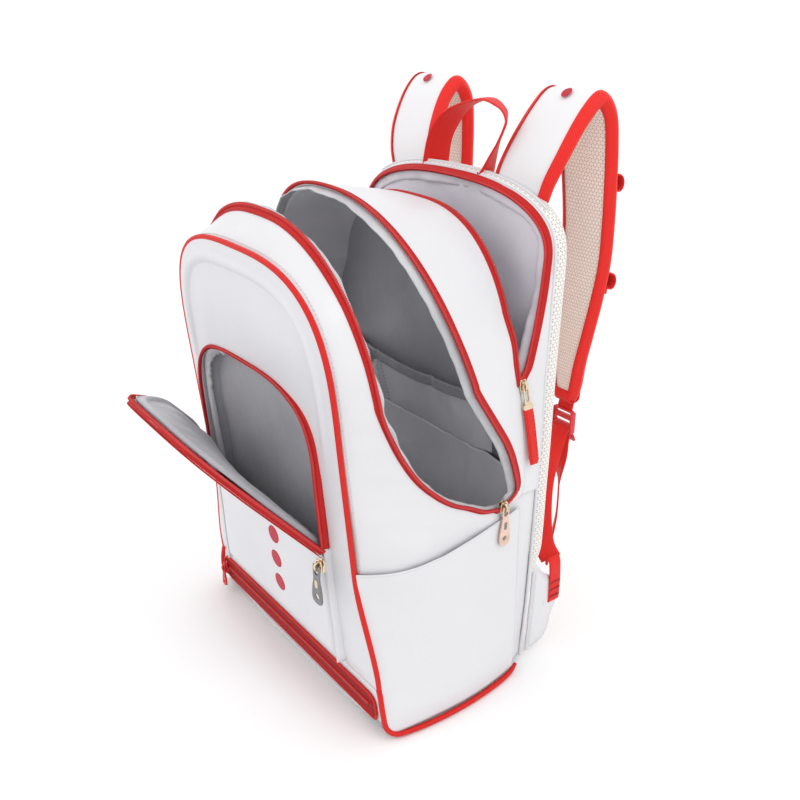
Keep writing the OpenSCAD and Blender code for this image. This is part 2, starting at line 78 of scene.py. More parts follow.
# ------------------------------------------------------------------ materials
class Mat:
    """Small helper round a node tree."""

    def __init__(self, name, rough=0.5, **sock):
        self.m = bpy.data.materials.new(name)
        self.m.use_nodes = True
        self.t = self.m.node_tree
        self.b = self.t.nodes["Principled BSDF"]
        self.b.inputs["Roughness"].default_value = rough
        for k, v in sock.items():
            self.b.inputs[k.replace("_", " ")].default_value = v
        self.tc = self.t.nodes.new("ShaderNodeTexCoord")

    def node(self, kind, **kw):
        n = self.t.nodes.new("ShaderNode" + kind)
        for k, v in kw.items():
            if k in n.inputs:
                n.inputs[k].default_value = v
            else:
                setattr(n, k, v)
        return n

    def link(self, a, b):
        self.t.links.new(a, b)

    def coord(self, kind="Object", scale=(1, 1, 1), rot=(0, 0, 0)):
        mp = self.node("Mapping")
        mp.inputs["Scale"].default_value = scale
        mp.inputs["Rotation"].default_value = rot
        self.link(self.tc.outputs[kind], mp.inputs["Vector"])
        return mp.outputs["Vector"]

    def noise(self, vec, scale, detail=3, rough=0.5):
        n = self.node("TexNoise", Scale=scale, Detail=detail, Roughness=rough)
        self.link(vec, n.inputs["Vector"])
        return n.outputs["Fac"]

    def wave(self, vec, scale, direction="X", distortion=0.0):
        n = self.node("TexWave", Scale=scale, Distortion=distortion, bands_direction=direction)
        self.link(vec, n.inputs["Vector"])
        return n.outputs["Fac"]

    def voronoi(self, vec, scale, feature="F1"):
        n = self.node("TexVoronoi", Scale=scale, feature=feature)
        self.link(vec, n.inputs["Vector"])
        return n.outputs["Distance"]

    def ramp(self, fac, stops):
        r = self.node("ValToRGB")
        e = r.color_ramp.elements
        while len(e) < len(stops):
            e.new(0.5)
        for i, (p, c) in enumerate(stops):
            e[i].position = p
            e[i].color = (*c, 1) if len(c) == 3 else c
        self.link(fac, r.inputs["Fac"])
        return r.outputs["Color"]

    def mathn(self, op, a, b=None, v=None):
        n = self.node("Math", operation=op)
        self.link(a, n.inputs[0])
        if b is not None:
            self.link(b, n.inputs[1])
        if v is not None:
            n.inputs[1].default_value = v
        return n.outputs["Value"]

    def mix(self, fac, a, b, blend="MIX"):
        n = self.node("Mix", data_type="RGBA", blend_type=blend)
        if isinstance(fac, (int, float)):
            n.inputs[0].default_value = fac
        else:
            self.link(fac, n.inputs[0])
        for k, v in ((6, a), (7, b)):
            if isinstance(v, tuple):
                n.inputs[k].default_value = (*v, 1)
            else:
                self.link(v, n.inputs[k])
        return n.outputs[2]

    def color(self, c):
        self.link(c, self.b.inputs["Base Color"])

    def rough(self, fac, lo, hi):
        n = self.node("MapRange")
        n.inputs["To Min"].default_value = lo
        n.inputs["To Max"].default_value = hi
        self.link(fac, n.inputs["Value"])
        self.link(n.outputs["Result"], self.b.inputs["Roughness"])

    def bump(self, *layers):
        """layers: (height, strength, distance)"""
        last = None
        for h, s, d in layers:
            n = self.node("Bump", Strength=s, Distance=d)
            self.link(h, n.inputs["Height"])
            if last is not None:
                self.link(last, n.inputs["Normal"])
            last = n.outputs["Normal"]
        self.link(last, self.b.inputs["Normal"])


def make_white(name, tint=(0.70, 0.70, 0.722), crease=0.45):
    m = Mat(name, 0.42, Specular_IOR_Level=0.42, Coat_Weight=0.12, Coat_Roughness=0.3)
    o = m.coord()
    big = m.noise(o, 9, 3)
    fine = m.noise(o, 160, 2)
    tint2 = tuple(c * 0.955 for c in tint)
    c1 = m.ramp(big, [(0.3, tint2), (0.7, tint)])
    m.color(m.mix(m.mathn("MULTIPLY", fine, v=0.12), c1, tuple(c * 0.9 for c in tint)))
    m.rough(m.noise(o, 40, 2), 0.36, 0.5)
    grain = m.voronoi(o, 1100, "SMOOTH_F1")
    m.bump((m.noise(o, 16, 4, 0.55), crease, 0.004), (grain, 0.12, 0.0003),
           (m.noise(o, 420, 2), 0.08, 0.0003))
    return m.m


def make_tape(name, dark=(0.48, 0.010, 0.010), light=(0.70, 0.022, 0.018), rib=900, rib2=700, rough=0.6,
              bump=0.5):
    """Woven tape; UVs are metres along and across."""
    m = Mat(name, rough, Sheen_Weight=0.04, Sheen_Roughness=0.5, Specular_IOR_Level=0.22)
    uv = m.coord("UV")
    o = m.coord()
    a = m.wave(uv, rib, "DIAGONAL")
    b = m.wave(uv, rib2, "X")
    w = m.mathn("MULTIPLY", a, b)
    c = m.ramp(w, [(0.0, dark), (0.75, light)])
    m.color(m.mix(m.mathn("MULTIPLY", m.noise(o, 30, 3), v=0.35), c, tuple(x * 0.82 for x in light)))
    m.bump((m.noise(o, 60, 2), 0.15, 0.0008), (w, bump, 0.0004))
    return m.m


def make_satin(name, lo, hi, crease=0.5, rough=0.42):
    m = Mat(name, rough, Sheen_Weight=0.3, Sheen_Roughness=0.4, Specular_IOR_Level=0.45)
    o = m.coord()
    m.color(m.ramp(m.noise(o, 14, 4), [(0.3, lo), (0.72, hi)]))
    wa = m.wave(o, 420, "X")
    wb = m.wave(o, 420, "Z")
    m.rough(m.noise(o, 30, 2), rough - 0.04, rough + 0.12)
    m.bump((m.noise(o, 24, 5, 0.6), crease, 0.004), (m.mathn("MULTIPLY", wa, wb), 0.18, 0.0003))
    return m.m


def make_airmesh(name, light=(0.80, 0.70, 0.62), dark=(0.50, 0.36, 0.28), scale=300):
    m = Mat(name, 0.75, Sheen_Weight=0.4, Sheen_Roughness=0.5, Specular_IOR_Level=0.25)
    uv = m.coord("UV")
    a = m.wave(m.coord("UV", rot=(0, 0, math.radians(60))), scale, "X")
    b = m.wave(m.coord("UV", rot=(0, 0, math.radians(-60))), scale, "X")
    c = m.wave(uv, scale, "X")
    h = m.mathn("MULTIPLY", m.mathn("MULTIPLY", a, b), c)
    # the holes are coloured dark: painted shade inside the mesh, which the flat sheet does not cast
    hole = m.ramp(h, [(0.05, light), (0.30, dark)])
    o = m.coord()
    m.color(m.mix(m.mathn("MULTIPLY", m.noise(o, 25, 2), v=0.3), hole, tuple(x * 0.92 for x in light)))
    inv = m.mathn("SUBTRACT", m.mathn("MULTIPLY", h, v=-1.0), v=-1.0)
    m.bump((m.noise(o, 40, 2), 0.2, 0.001), (inv, 0.7, 0.0009))
    return m.m


def make_metal(name, col, rough=0.25):
    m = Mat(name, rough, Metallic=1.0)
    o = m.coord()
    m.color(m.ramp(m.noise(o, 120, 3), [(0.3, tuple(c * 0.8 for c in col)), (0.7, col)]))
    m.rough(m.noise(o, 300, 3), rough * 0.7, rough * 1.6)
    m.bump((m.noise(o, 700, 2), 0.08, 0.0002))
    return m.m


def make_plastic(name, col, rough=0.25, scale=500):
    m = Mat(name, rough, Specular_IOR_Level=0.5, Coat_Weight=0.15, Coat_Roughness=0.15)
    o = m.coord()
    m.color(m.ramp(m.noise(o, 60, 2), [(0.3, tuple(c * 0.85 for c in col)), (0.7, col)]))
    m.rough(m.noise(o, 90, 2), rough * 0.8, rough * 1.5)
    m.bump((m.noise(o, scale, 2), 0.06, 0.0002))
    return m.m


M = {
    "white": make_white("white_coated"),
    "white_panel": make_white("white_panel", (0.685, 0.683, 0.71), 0.30),
    "white_strap": make_white("white_strap", (0.76, 0.755, 0.77), 0.2),
    "seam": make_satin("seam_allowance", (0.42, 0.43, 0.45), (0.60, 0.61, 0.63), 0.8),
    "grey": make_satin("grey_satin", (0.33, 0.33, 0.36), (0.44, 0.44, 0.475), 0.45),
    # this is the lining satin made about twice as bright as the grey one: painted light standing in for the
    # highlights on the sleeve and the light inside the main compartment
    "lining_painted_light": make_satin("lining_satin_painted_light", (0.68, 0.67, 0.71), (0.84, 0.83, 0.87), 0.4, 0.3),
    # this lining satin keeps a real lilac tint, but it is made about twice as bright as the grey one: painted
    # light for the rear compartment
    "lavender_painted_light": make_satin("lavender_satin_painted_light", (0.64, 0.61, 0.67), (0.76, 0.73, 0.79), 0.35),
    "tape": make_tape("zip_tape"),
    "piping": make_tape("piping", (0.56, 0.012, 0.010), (0.78, 0.026, 0.018), rib=700, rib2=1500, bump=0.35),
    "webbing": make_tape("webbing", (0.66, 0.014, 0.012), (0.88, 0.032, 0.020), 420, 820, 0.5, 0.5),
    "ribbed": make_tape("ribbed_tape", (0.27, 0.006, 0.008), (0.44, 0.012, 0.014), 420, 820, 0.5, 0.5),
    "binding": make_tape("binding", (0.66, 0.014, 0.012), (0.88, 0.030, 0.020), 260, 320, 0.55, 0.35),
    "teeth": make_plastic("coil_teeth", (0.56, 0.012, 0.012), 0.35),
    "print": make_tape("generic_print", (0.42, 0.01, 0.03), (0.55, 0.015, 0.04), 300, 300, 0.45, 0.1),
    # the second colour of each air mesh is the painted shade in its holes
    "airmesh": make_airmesh("air_mesh", (0.92, 0.82, 0.76), (0.48, 0.33, 0.26), 100),
    "airmesh_white": make_airmesh("air_mesh_white", (0.80, 0.78, 0.75), (0.40, 0.37, 0.34), 100),
    "gold": make_metal("pale_gold", (0.86, 0.70, 0.50), 0.22),
    "rose": make_metal("rose_gold", (0.82, 0.60, 0.50), 0.24),
    "gunmetal": make_metal("dark_nickel", (0.26, 0.25, 0.25), 0.28),
    "plastic": make_plastic("red_acetal", (0.66, 0.012, 0.018), 0.22),
    "thread": make_plastic("white_thread", (0.75, 0.75, 0.77), 0.5),
    "thread_red": make_plastic("red_thread", (0.45, 0.006, 0.01), 0.5),
    "thread_grey": make_plastic("grey_thread", (0.30, 0.30, 0.32), 0.5),
}


# ------------------------------------------------------------------ mesh building
def put(name, verts, faces, mat, uvs=None, smooth=True, sub=0):
    """verts in mm"""
    me = bpy.data.meshes.new(name)
    me.from_pydata([tuple(v * 0.001) for v in np.asarray(verts, float)], [], faces)
    if uvs is not None:
        lay = me.uv_layers.new(name="UVMap")
        for poly in me.polygons:
            for li, vi in zip(poly.loop_indices, poly.vertices):
                lay.data[li].uv = (uvs[vi][0] * 0.001, uvs[vi][1] * 0.001)
    if smooth:
        for p in me.polygons:
            p.use_smooth = True
    me.materials.append(M[mat])
    me.validate()
    me.update()
    ob = bpy.data.objects.new(name, me)
    bpy.context.collection.objects.link(ob)
    if sub:
        s = ob.modifiers.new("sub", "SUBSURF")
        s.levels = s.render_levels = sub
    return ob


def run_of(P):
    """Distance along a path at each of its points"""
    return np.concatenate([[0], np.cumsum(np.linalg.norm(np.diff(P, axis=0), axis=1))])


def resample(P, n):
    P = np.asarray(P, float)
    d = run_of(P)
    t = np.linspace(0, d[-1], n)
    return np.stack([np.interp(t, d, P[:, k]) for k in range(P.shape[1])], 1)


def spline(K, n=200):
    """Catmull-Rom through the keys, evened out by length"""
    K = np.asarray(K, float)
    E = np.vstack([2 * K[0] - K[1], K, 2 * K[-1] - K[-2]])
    out = []
    for i in range(1, len(E) - 2):
        p0, p1, p2, p3 = E[i - 1:i + 3]
        for t in np.linspace(0, 1, 14, endpoint=False):
            out.append(0.5 * ((2 * p1) + (-p0 + p2) * t + (2 * p0 - 5 * p1 + 4 * p2 - p3) * t * t
                              + (-p0 + 3 * p1 - 3 * p2 + p3) * t ** 3))
    out.append(E[-2])
    return resample(out, n)


def arch(w, zs, h, n, y0, slope, z_from, N=160):
    """Arch from the right leg at z_from over the top to the left leg"""
    t = np.linspace(0, np.pi, 400)
    x = w * np.sign(np.cos(t)) * np.abs(np.cos(t)) ** (2 / n)
    z = zs + h * np.sin(np.clip(t, 0, np.pi)).clip(0) ** (2 / n)
    if z_from < zs:
        zz = np.linspace(z_from, zs, 60)[:-1]
        x = np.concatenate([np.full(59, w), x, np.full(59, -w)])
        z = np.concatenate([zz, z, zz[::-1]])
    else:
        keep = z >= z_from - 1e-6
        x, z = x[keep], z[keep]
    return resample(np.stack([x, y0 + slope * z, z], 1), N)


def mirror(P):
    P = np.array(P, float)
    P[..., 0] *= -1
    return P


def grid_faces(nu, nv, close_u=False, close_v=False, flip=False):
    F = []
    for i in range(nu if close_u else nu - 1):
        for j in range(nv if close_v else nv - 1):
            a, b = i * nv + j, i * nv + (j + 1) % nv
            c, d = ((i + 1) % nu) * nv + (j + 1) % nv, ((i + 1) % nu) * nv + j
            F.append((a, d, c, b) if flip else (a, b, c, d))
    return F


def rim_faces(nu, nv, close_u=False):
    """Faces round the edge of a sheet whose second side follows its first"""
    o = nu * nv
    ends = [] if close_u else [(i * nv + j, i * nv + j + 1) for i in (0, nu - 1) for j in range(nv - 1)]
    sides = [(i * nv + j, (i + 1) % nu * nv + j) for j in (0, nv - 1)
             for i in range(nu if close_u else nu - 1)]
    return [(a, b, b + o, a + o) for a, b in ends + sides]


def flat_grid(us, vs):
    """Grid of points (u, v, 0)"""
    return np.stack(np.meshgrid(us, vs, indexing="ij") + [np.zeros((len(us), len(vs)))], -1)


def grid_uv(G):
    G = np.asarray(G, float)
    mid = G[:, G.shape[1] // 2]
    u = run_of(mid)
    row = G[G.shape[0] // 2]
    v = run_of(row)
    U = np.repeat(u[:, None], G.shape[1], 1)
    Vv = np.repeat(v[None], G.shape[0], 0)
    return np.stack([U, Vv], -1).reshape(-1, 2)


def noise3(P, scale, seed=0):
    return np.array([mathutils.noise.noise(mathutils.Vector(
        (p[0] / scale + seed, p[1] / scale - seed, p[2] / scale + 2 * seed)))
        for p in P.reshape(-1, 3)]).reshape(P.shape[:-1])


def normals(G):
    du = np.gradient(G, axis=0)
    dv = np.gradient(G, axis=1)
    n = np.cross(du, dv)
    return n / (np.linalg.norm(n, axis=-1, keepdims=True) + 1e-9)


def loft(A, B, nv):
    t = np.linspace(0, 1, nv)[None, :, None]
    return A[:, None] * (1 - t) + B[:, None] * t


def shell(name, G, mat, thick=1.6, flip=False, close_u=False):
    """Grid of points (outer face) made into a sheet of that thickness towards the inside"""
    G = np.asarray(G, float)
    nu, nv = G.shape[:2]
    N = normals(G) * (-1 if flip else 1)
    inner = G - N * thick
    verts = np.vstack([G.reshape(-1, 3), inner.reshape(-1, 3)])
    F = grid_faces(nu, nv, close_u, flip=not flip)
    o = nu * nv
    F += [tuple(i + o for i in f[::-1]) for f in F]
    F += rim_faces(nu, nv, close_u)
    uv = grid_uv(G)
    ob = put(name, verts, F, mat, np.vstack([uv, uv]))
    fixn(ob)
    return ob


def frames(P, ref):
    """Tangent, side and up along a path; ref is a vector or an array of vectors the side leans to"""
    P = np.asarray(P, float)
    T = np.gradient(P, axis=0)
    T /= np.linalg.norm(T, axis=1, keepdims=True)
    R = np.broadcast_to(np.asarray(ref, float), P.shape)
    S = R - (R * T).sum(1, keepdims=True) * T
    S /= np.linalg.norm(S, axis=1, keepdims=True)
    return T, S, np.cross(T, S)


def tube(name, P, r, mat, ref=(0, 1, 0), k=10, ry=None):
    """Tube along P; r along the side vector, ry along the other"""
    P = np.asarray(P, float)
    T, S, U = frames(P, ref)
    ry = r if ry is None else ry
    rr = np.broadcast_to(r, (len(P),))[:, None, None]
    ru = np.broadcast_to(ry, (len(P),))[:, None, None]
    a = np.linspace(0, 2 * np.pi, k, endpoint=False)[None, :, None]
    G = P[:, None] + rr * np.cos(a) * S[:, None] + ru * np.sin(a) * U[:, None]
    u = run_of(P)
    per = 2 * np.pi * float(np.max(r))
    uv = np.stack([np.repeat(u, k), np.tile(np.linspace(0, per, k, endpoint=False), len(P))], 1)
    F = grid_faces(len(P), k, close_v=True, flip=True)
    F += [tuple(range(k))[::-1], tuple(range((len(P) - 1) * k, len(P) * k))]
    return put(name, G.reshape(-1, 3), F, mat, uv)


def ribbon(name, P, side, w, t, mat, crown=0.0):
    """Flat strip of width w and thickness t along P; side is the direction across it"""
    P = np.asarray(P, float)
    T, S, U = frames(P, side)
    w = np.broadcast_to(w, (len(P),))
    cols = [(-0.5, 0), (-0.47, 0.42), (-0.25, 0.5 + crown * 0.75), (0, 0.5 + crown),
            (0.25, 0.5 + crown * 0.75), (0.47, 0.42), (0.5, 0),
            (0.47, -0.42), (0.25, -0.5), (0, -0.5), (-0.25, -0.5), (-0.47, -0.42)]
    k = len(cols)
    G = np.stack([P + S * (c[0] * w)[:, None] + U * (c[1] * t) for c in cols], 1)
    u = run_of(P)
    uv = np.stack([np.repeat(u, k), np.tile([c[0] * float(w.mean()) for c in cols], len(P))], 1)
    F = grid_faces(len(P), k, close_v=True, flip=True)
    F += [tuple(range(k))[::-1], tuple(range((len(P) - 1) * k, len(P) * k))]
    return put(name, G.reshape(-1, 3), F, mat, uv)


def blocks(name, P, side, size, pitch, mat, off=(0, 0)):
    """Row of small rounded blocks along P: zip teeth or stitches. size = (along, across, up)"""
    P = np.asarray(P, float)
    L = np.linalg.norm(np.diff(P, axis=0), axis=1).sum()
    Q = resample(P, max(2, int(L / pitch)))
    S0 = np.broadcast_to(np.asarray(side, float), P.shape)
    S1 = resample_with(P, S0, len(Q))
    T, S, U = frames(Q, S1)
    vs, fs = [], []
    a, b, c = (s / 2 for s in size)
    prof = [(-1, -.6, -.6), (-1, .6, -.6), (-1, .6, .6), (-1, -.6, .6), (0, -1, -1), (0, 1, -1), (0, 1, 1),
            (0, -1, 1), (1, -.6, -.6),
            (1, .6, -.6), (1, .6, .6), (1, -.6, .6)]
    for i in range(len(Q)):
        o = len(vs)
        base = Q[i] + S[i] * off[0] + U[i] * off[1]
        vs += [base + T[i] * p[0] * a + S[i] * p[1] * b + U[i] * p[2] * c for p in prof]
        for k in (0, 4):
            for j in range(4):
                fs.append((o + k + j, o + k + (j + 1) % 4, o + k + 4 + (j + 1) % 4, o + k + 4 + j))
        fs += [(o + 3, o + 2, o + 1, o), (o + 8, o + 9, o + 10, o + 11)]
    return put(name, np.array(vs), fs, mat)


def resample_with(P, S, n):
    d = run_of(P)
    t = np.linspace(0, d[-1], n)
    return np.stack([np.interp(t, d, S[:, k]) for k in range(3)], 1)


def smooth01(t):
    t = np.clip(t, 0, 1)
    return t * t * (3 - 2 * t)


def strip(G, end, d, lift=0.0, flip=False):
    """Grid along an edge of G: each row sampled at distances d from its end, 0 first or -1 last"""
    G = np.asarray(G, float)
    N = normals(G) * (-1 if flip else 1)
    out = np.zeros((G.shape[0], len(d), 3))
    for i in range(G.shape[0]):
        row, nr = (G[i], N[i]) if end == 0 else (G[i][::-1], N[i][::-1])
        L = run_of(row)
        for j, dd in enumerate(d):
            if dd < 0:
                base = row[0] + (row[0] - row[1]) / (np.linalg.norm(row[0] - row[1]) + 1e-9) * (-dd)
                n = nr[0]
            else:
                t = min(dd, L[-1] * 0.98)
                base = np.array([np.interp(t, L, row[:, k]) for k in range(3)])
                n = np.array([np.interp(t, L, nr[:, k]) for k in range(3)])
            out[i, j] = base + n * lift
    return out


def edge_dist(P, line):
    """Distance in the x-z plane from each point to a polyline"""
    A, B = line[:-1][:, [0, 2]], line[1:][:, [0, 2]]
    Q = P.reshape(-1, 3)[:, [0, 2]]
    D = B - A
    LL = (D ** 2).sum(1) + 1e-9
    best = np.full(len(Q), 1e9)
    for a, d, l in zip(A, D, LL):
        t = np.clip(((Q - a) @ d) / l, 0, 1)
        best = np.minimum(best, np.linalg.norm(Q - (a + t[:, None] * d), axis=1))
    return best.reshape(P.shape[:-1])


def loop(keys, top, n=300):
    """Right keys, arch and mirrored left keys as one smooth loop"""
    K = np.vstack([np.asarray(keys, float), top])
    half = K[: len(keys) + len(top) // 2 + 1]
    half = half[half[:, 0] >= -1e-6]
    half[-1, 0] = 0
    h = spline(half[np.concatenate([[True], np.linalg.norm(np.diff(half, axis=0), axis=1) > 2.5])],
               n // 2 + 1)
    h[-1, 0] = 0
    return np.vstack([h, mirror(h[:-1][::-1])])


def rim_top(*shape):
    return arch(*shape, N=61)


def leg(w0, w1, za, zb, y0, slope, zz):
    return [(w0 + (w1 - w0) * float(smooth01((z - za) / (zb - za))), y0 + slope * z, z) for z in zz]


# ------------------------------------------------------------------ seam curves (mm)
BACK_SLOPE = 0.0503        # how far the back leans, mm per mm of height
DIVIDER_SLOPE = 0.0789     # the same for the divider, forwards
PAD_CHANNELS = (175, 252, 330)    # heights of the sewn channels of the back pads
FOLD_Z = 175               # height of the pocket flap's fold
L1_keys = leg(140, 121.5, 51, 160, -74, -0.09, [51, 65, 80, 95, 110, 125, 140, 155, 175, 200, 225, 250, 270])
L1 = loop(L1_keys, rim_top(121.5, 291, 118, 3.1, -74, -0.09, 288))
L2_keys = [(147.5, 44, 185), (148, 25, 192), (148, 9, 201), (147.5, -8, 210), (146.5, -23, 221.5),
           (145, -42, 241), (143, -57, 264.5), (140.5, -68, 289)]
L3_keys = [(147.5, 44, 187), (149, 57, 196), (149.5, 61, 205), (149, 55, 228), (148.5, 46, 249),
           (145.5, 33, 272)]
L3 = loop(L3_keys, rim_top(147, 227, 218, 2.35, 104.3, -0.2913, 298))
L4_keys = [(129, 77, 288), (126, 75.5, 305), (122.5, 74.5, 325)]
L4 = loop(L4_keys, rim_top(123.3, 235, 191, 2.84, 100.2, -0.0789, 345))
L5_keys = [(129, 79, 288), (128, 86, 300), (127, 92, 320), (126, 98, 345), (125.5, 101.5, 365)]
MB_low = [(147, 70, 192), (146, 72.5, 205), (143, 74, 230), (136, 76.5, 262)]
L4b = loop(MB_low + L4_keys, rim_top(123.3, 235, 191, 2.84, 100.2, -0.0789, 345))
L5b = loop(MB_low + L5_keys, rim_top(125.5, 388, 53, 2.43, 84, 0.0503, 388))
BE_keys = [(139, 98, 185), (137, 101, 225), (133, 105.5, 270), (130.5, 109, 320), (129.5, 111.5, 385)]
BE = loop(BE_keys, rim_top(129.5, 390, 55, 2.43, 90, 0.0535, 392))
BE_low = [(139.5, 90, 4), (140.5, 93, 60), (141, 94, 100), (140.5, 96, 145), (139, 98, 185)]


def ride(ob, body, *nodes):
    """Ride on a body, in place of the CAD nodes named"""
    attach(ob, body)
    if nodes:
        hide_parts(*nodes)
    return ob


BL = {"front": ("shell", "front_section", (0, .044, .185), (0, -.060, .230)),
      "low": ("shell", "front_section", (0, .010, .100), (0, -.070, .100)),
      "mid": ("shell", "middle_section", (0, 0, .200), (0, 0, .270)),
      "web_r": ("shell", "strap_right", (.137, .1255, .1005), (.102, .169, .178)),
      "web_l": ("shell", "strap_left", (-.137, .1255, .1005), (-.102, .169, .178))}


def blend(ob, key, *nodes):
    """Bake the object's placement into its mesh, in place of the CAD nodes named"""
    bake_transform(ob)
    if nodes:
        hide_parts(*nodes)
    return ob


def fix(ob, how):
    return blend(ob, how) if how in BL else ride(ob, how)


def bulged(A, B, nv, h, noise=0.0, scale=60, seed=0, power=1.0, flip=False):
    G = loft(A, B, nv)
    N = normals(G) * (-1 if flip else 1)
    t = np.linspace(0, 1, nv)[None, :, None]
    prof = (4 * t * (1 - t)) ** power
    hh = np.broadcast_to(np.asarray(h, float), (G.shape[0],))[:, None, None]
    G = G + N * hh * prof
    if noise:
        G = G + N * (noise3(G, scale, seed)[..., None]
                     + 0.5 * noise3(G, scale * 0.45, seed + 3)[..., None]) * noise * np.minimum(1, prof * 2)
    return G


def zip_edge(prefix, G, end, how, lift=0.7, flip=False, width=4.9, teeth=True, out=0.9, rows=None):
    """Red tape, coil and stitching along the edge of a skin"""
    GG = G if rows is None else G[rows[0]:rows[1]]
    T = strip(GG, end, np.linspace(-out, width, 5), lift, flip)
    sg = (1 if end == 0 else -1) * (-1 if flip else 1)
    obs = [shell(prefix + "_tape", T, "tape", 1.3, flip=(sg < 0))]
    C = T[:, 0]
    N = normals(T) * sg
    side = T[:, 1] - T[:, 0]
    if teeth:
        obs.append(tube(prefix + "_coil", C + N[:, 0] * 0.1, 1.25, "teeth", side, 8))
        obs.append(blocks(prefix + "_teeth", C + N[:, 0] * 0.1, side, (0.95, 3.3, 2.9), 1.75, "teeth"))
    S = strip(GG, end, [width - 1.2], lift + 0.15, flip)[:, 0]
    obs.append(blocks(prefix + "_stitch", S, side, (2.3, 0.55, 0.5), 3.4, "thread_red"))
    for o in obs:
        fix(o, how)
    return obs


def mouth_lining(name, G, end, flip, reach, depth, mat, seed):
    """Seam allowance inside an opening, reaching past the zip with a loose, puckered edge"""
    D = [-reach, -reach * 0.7, -reach * 0.3, 1.5, depth * 0.5, depth]
    L = [-5.6, -5.0, -3.8, -3.0, -2.7, -2.7]
    cols = [strip(G, end, [d], l, flip)[:, 0] for d, l in zip(D, L)]
    Q = np.stack(cols, 1)
    wav = (np.sin(np.arange(len(Q)) * 0.55) * 0.35 + noise3(Q[:, 0], 9, seed) * 1.6
           + noise3(Q[:, 0], 26, seed + 1) * 1.4)
    N = normals(Q)
    for j, k in enumerate((1.0, 0.8, 0.4, 0.1, 0, 0)):
        Q[:, j] += N[:, j] * wav[:, None] * k * 0.8
    o = shell(name, Q, mat, 1.1, flip=False)
    return o


def seam_stitches(name, P, side, how, mat="thread", size=(2.4, 0.5, 0.45), pitch=3.6):
    return fix(blocks(name, P, side, size, pitch, mat), how)


# ------------------------------------------------------------------ front panel
def panel_rows(line, nrow, ncol):
    """Rows between the right and left half of a symmetric loop"""
    half = line[: len(line) // 2 + 1]
    R = resample(half, nrow)
    t = np.cos(np.linspace(0, np.pi, ncol))
    t = 0.35 * t + 0.65 * np.linspace(1, -1, ncol)
    return np.stack([R[:, None, 0] * t[None], np.repeat(R[:, 1:2], ncol, 1), np.repeat(R[:, 2:3], ncol, 1)],
                    -1)


def bump_line(d, at, half, h):
    return h * np.exp(-((d - at) / half) ** 2)


def build_front_panel():
    G = panel_rows(L1, 150, 121)
    d = edge_dist(G, L1)
    z = G[..., 2]
    x = G[..., 0]
    puff = 6.0 * (1 - np.exp(-d / 26.0))
    high = smooth01((z - 250) / 70)
    puff = puff + high * (bump_line(d, 15.0, 2.4, 1.7)
                          - 1.9 * smooth01((d - 17.2) / 3) * smooth01((60 - d) / 40))
    puff = puff * smooth01((z - 50) / 22) + 0.9 * noise3(G, 70, 2) * smooth01(d / 20)
    mouth_top = 236 + 74 * np.clip(1 - (np.abs(x) / 91.5) ** 3.3, 0, 1) ** (1 / 3.3)
    hole = (np.abs(x) < 90) & (z > 72) & (z < mouth_top)
    puff = np.where(hole, np.minimum(puff, 1.5), puff)
    G = G.copy()
    G[..., 1] -= puff
    # cut out the mouth of the pocket: faces whose centre lies inside the hole
    nu, nv = G.shape[:2]
    F = grid_faces(nu, nv)
    P = G.reshape(-1, 3)
    faces = []
    for f in F:
        c = P[list(f)].mean(0)
        if abs(c[0]) < 89 and 74 < c[2] < 236 + 71 * max(0, 1 - (abs(c[0]) / 89) ** 3.3) ** (1 / 3.3):
            continue
        faces.append(f)
    ob = put("front_panel_skin", P, faces, "white_panel", grid_uv(G))
    s = ob.modifiers.new("solid", "SOLIDIFY")
    s.thickness = 0.002
    s.offset = -1
    ride(ob, "front_section", "front_panel")
    # lining behind it
    H = panel_rows(L1, 70, 61)
    H[..., 1] += 6.5 + 1.5 * noise3(H, 45, 7)
    ride(shell("front_panel_lining", H[:-1] * V(0.985, 1, 1), "grey", 1.2, flip=True), "front_section")
    return G


def build_piping():
    P = L1 + V(0, -0.5, 0)
    ride(tube("front_piping_cord", P, 2.3, "piping", (0, 1, 0), 12), "front_section", "front_piping")
    keys = [(138.5, -78.8, 52), (141.5, -79.2, 45), (145.2, -79.5, 30), (147.2, -77.5, 15),
            (147.9, -70, 6.2), (147.9, -56, 3.6), (147.9, -20, 3.2),
            (147.9, 20, 3.2), (147.9, 52, 3.2), (147.6, 66, 4.2), (146.8, 74, 7)]
    for s, nm in ((1, "r"), (-1, "l")):
        K = belly(spline(keys, 160)) * V(s, 1, 1)
        q = tube("side_piping_" + nm, K, np.interp(np.arange(160), [0, 150, 159], [2.4, 2.4, 1.6]),
                 "piping", (1, 0, 0), 12)
        ride(q, "shell")
        if s == 1:
            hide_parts("side_pipings")


def belly(G, h=10.0):
    """The soft sides of the box swell outwards between front and back, most near the floor"""
    G = np.array(G, float)
    y, z = G[..., 1], G[..., 2]
    k = np.clip(1 - ((y - 2) / 80.0) ** 2, 0, 1) * (1 - smooth01((z - 25) / 165.0))
    G[..., 0] += np.sign(G[..., 0]) * h * k * smooth01((np.abs(G[..., 0]) - 60) / 80)
    return G


def side_grid(z0, ztop, n_z, n_y, rear=None):
    """Side of the lower box from the front piping to the back edge; ztop(y) gives the upper edge"""
    G = np.zeros((n_z, n_y, 3))
    ty = np.linspace(0, 1, n_y)
    for i in range(n_z):
        a = i / (n_z - 1)
        zf = z0 + (178 - z0) * a
        fx, fy, _ = front_edge(zf)
        bx, by = (np.interp(zf, [p[2] for p in BE_low], [p[0] for p in BE_low]),
                  np.interp(zf, [p[2] for p in BE_low], [p[1] for p in BE_low]))
        ye = by if rear is None else rear
        y = fy + (ye - fy) * ty
        z = z0 + (ztop(y) - z0) * a
        flat = 146.6 - 1.4 * smooth01((30 - z) / 30)
        x = fx + (flat - fx) * (1 - (1 - np.clip((y - fy) / 55.0, 0, 1)) ** 2.3)
        if rear is None:
            tb = np.clip((by - y) / 26.0, 0, 1)
            x = x - (flat - bx) * (1 - tb) ** 2.0
        G[i] = np.stack([x, y, z], 1)
    return G


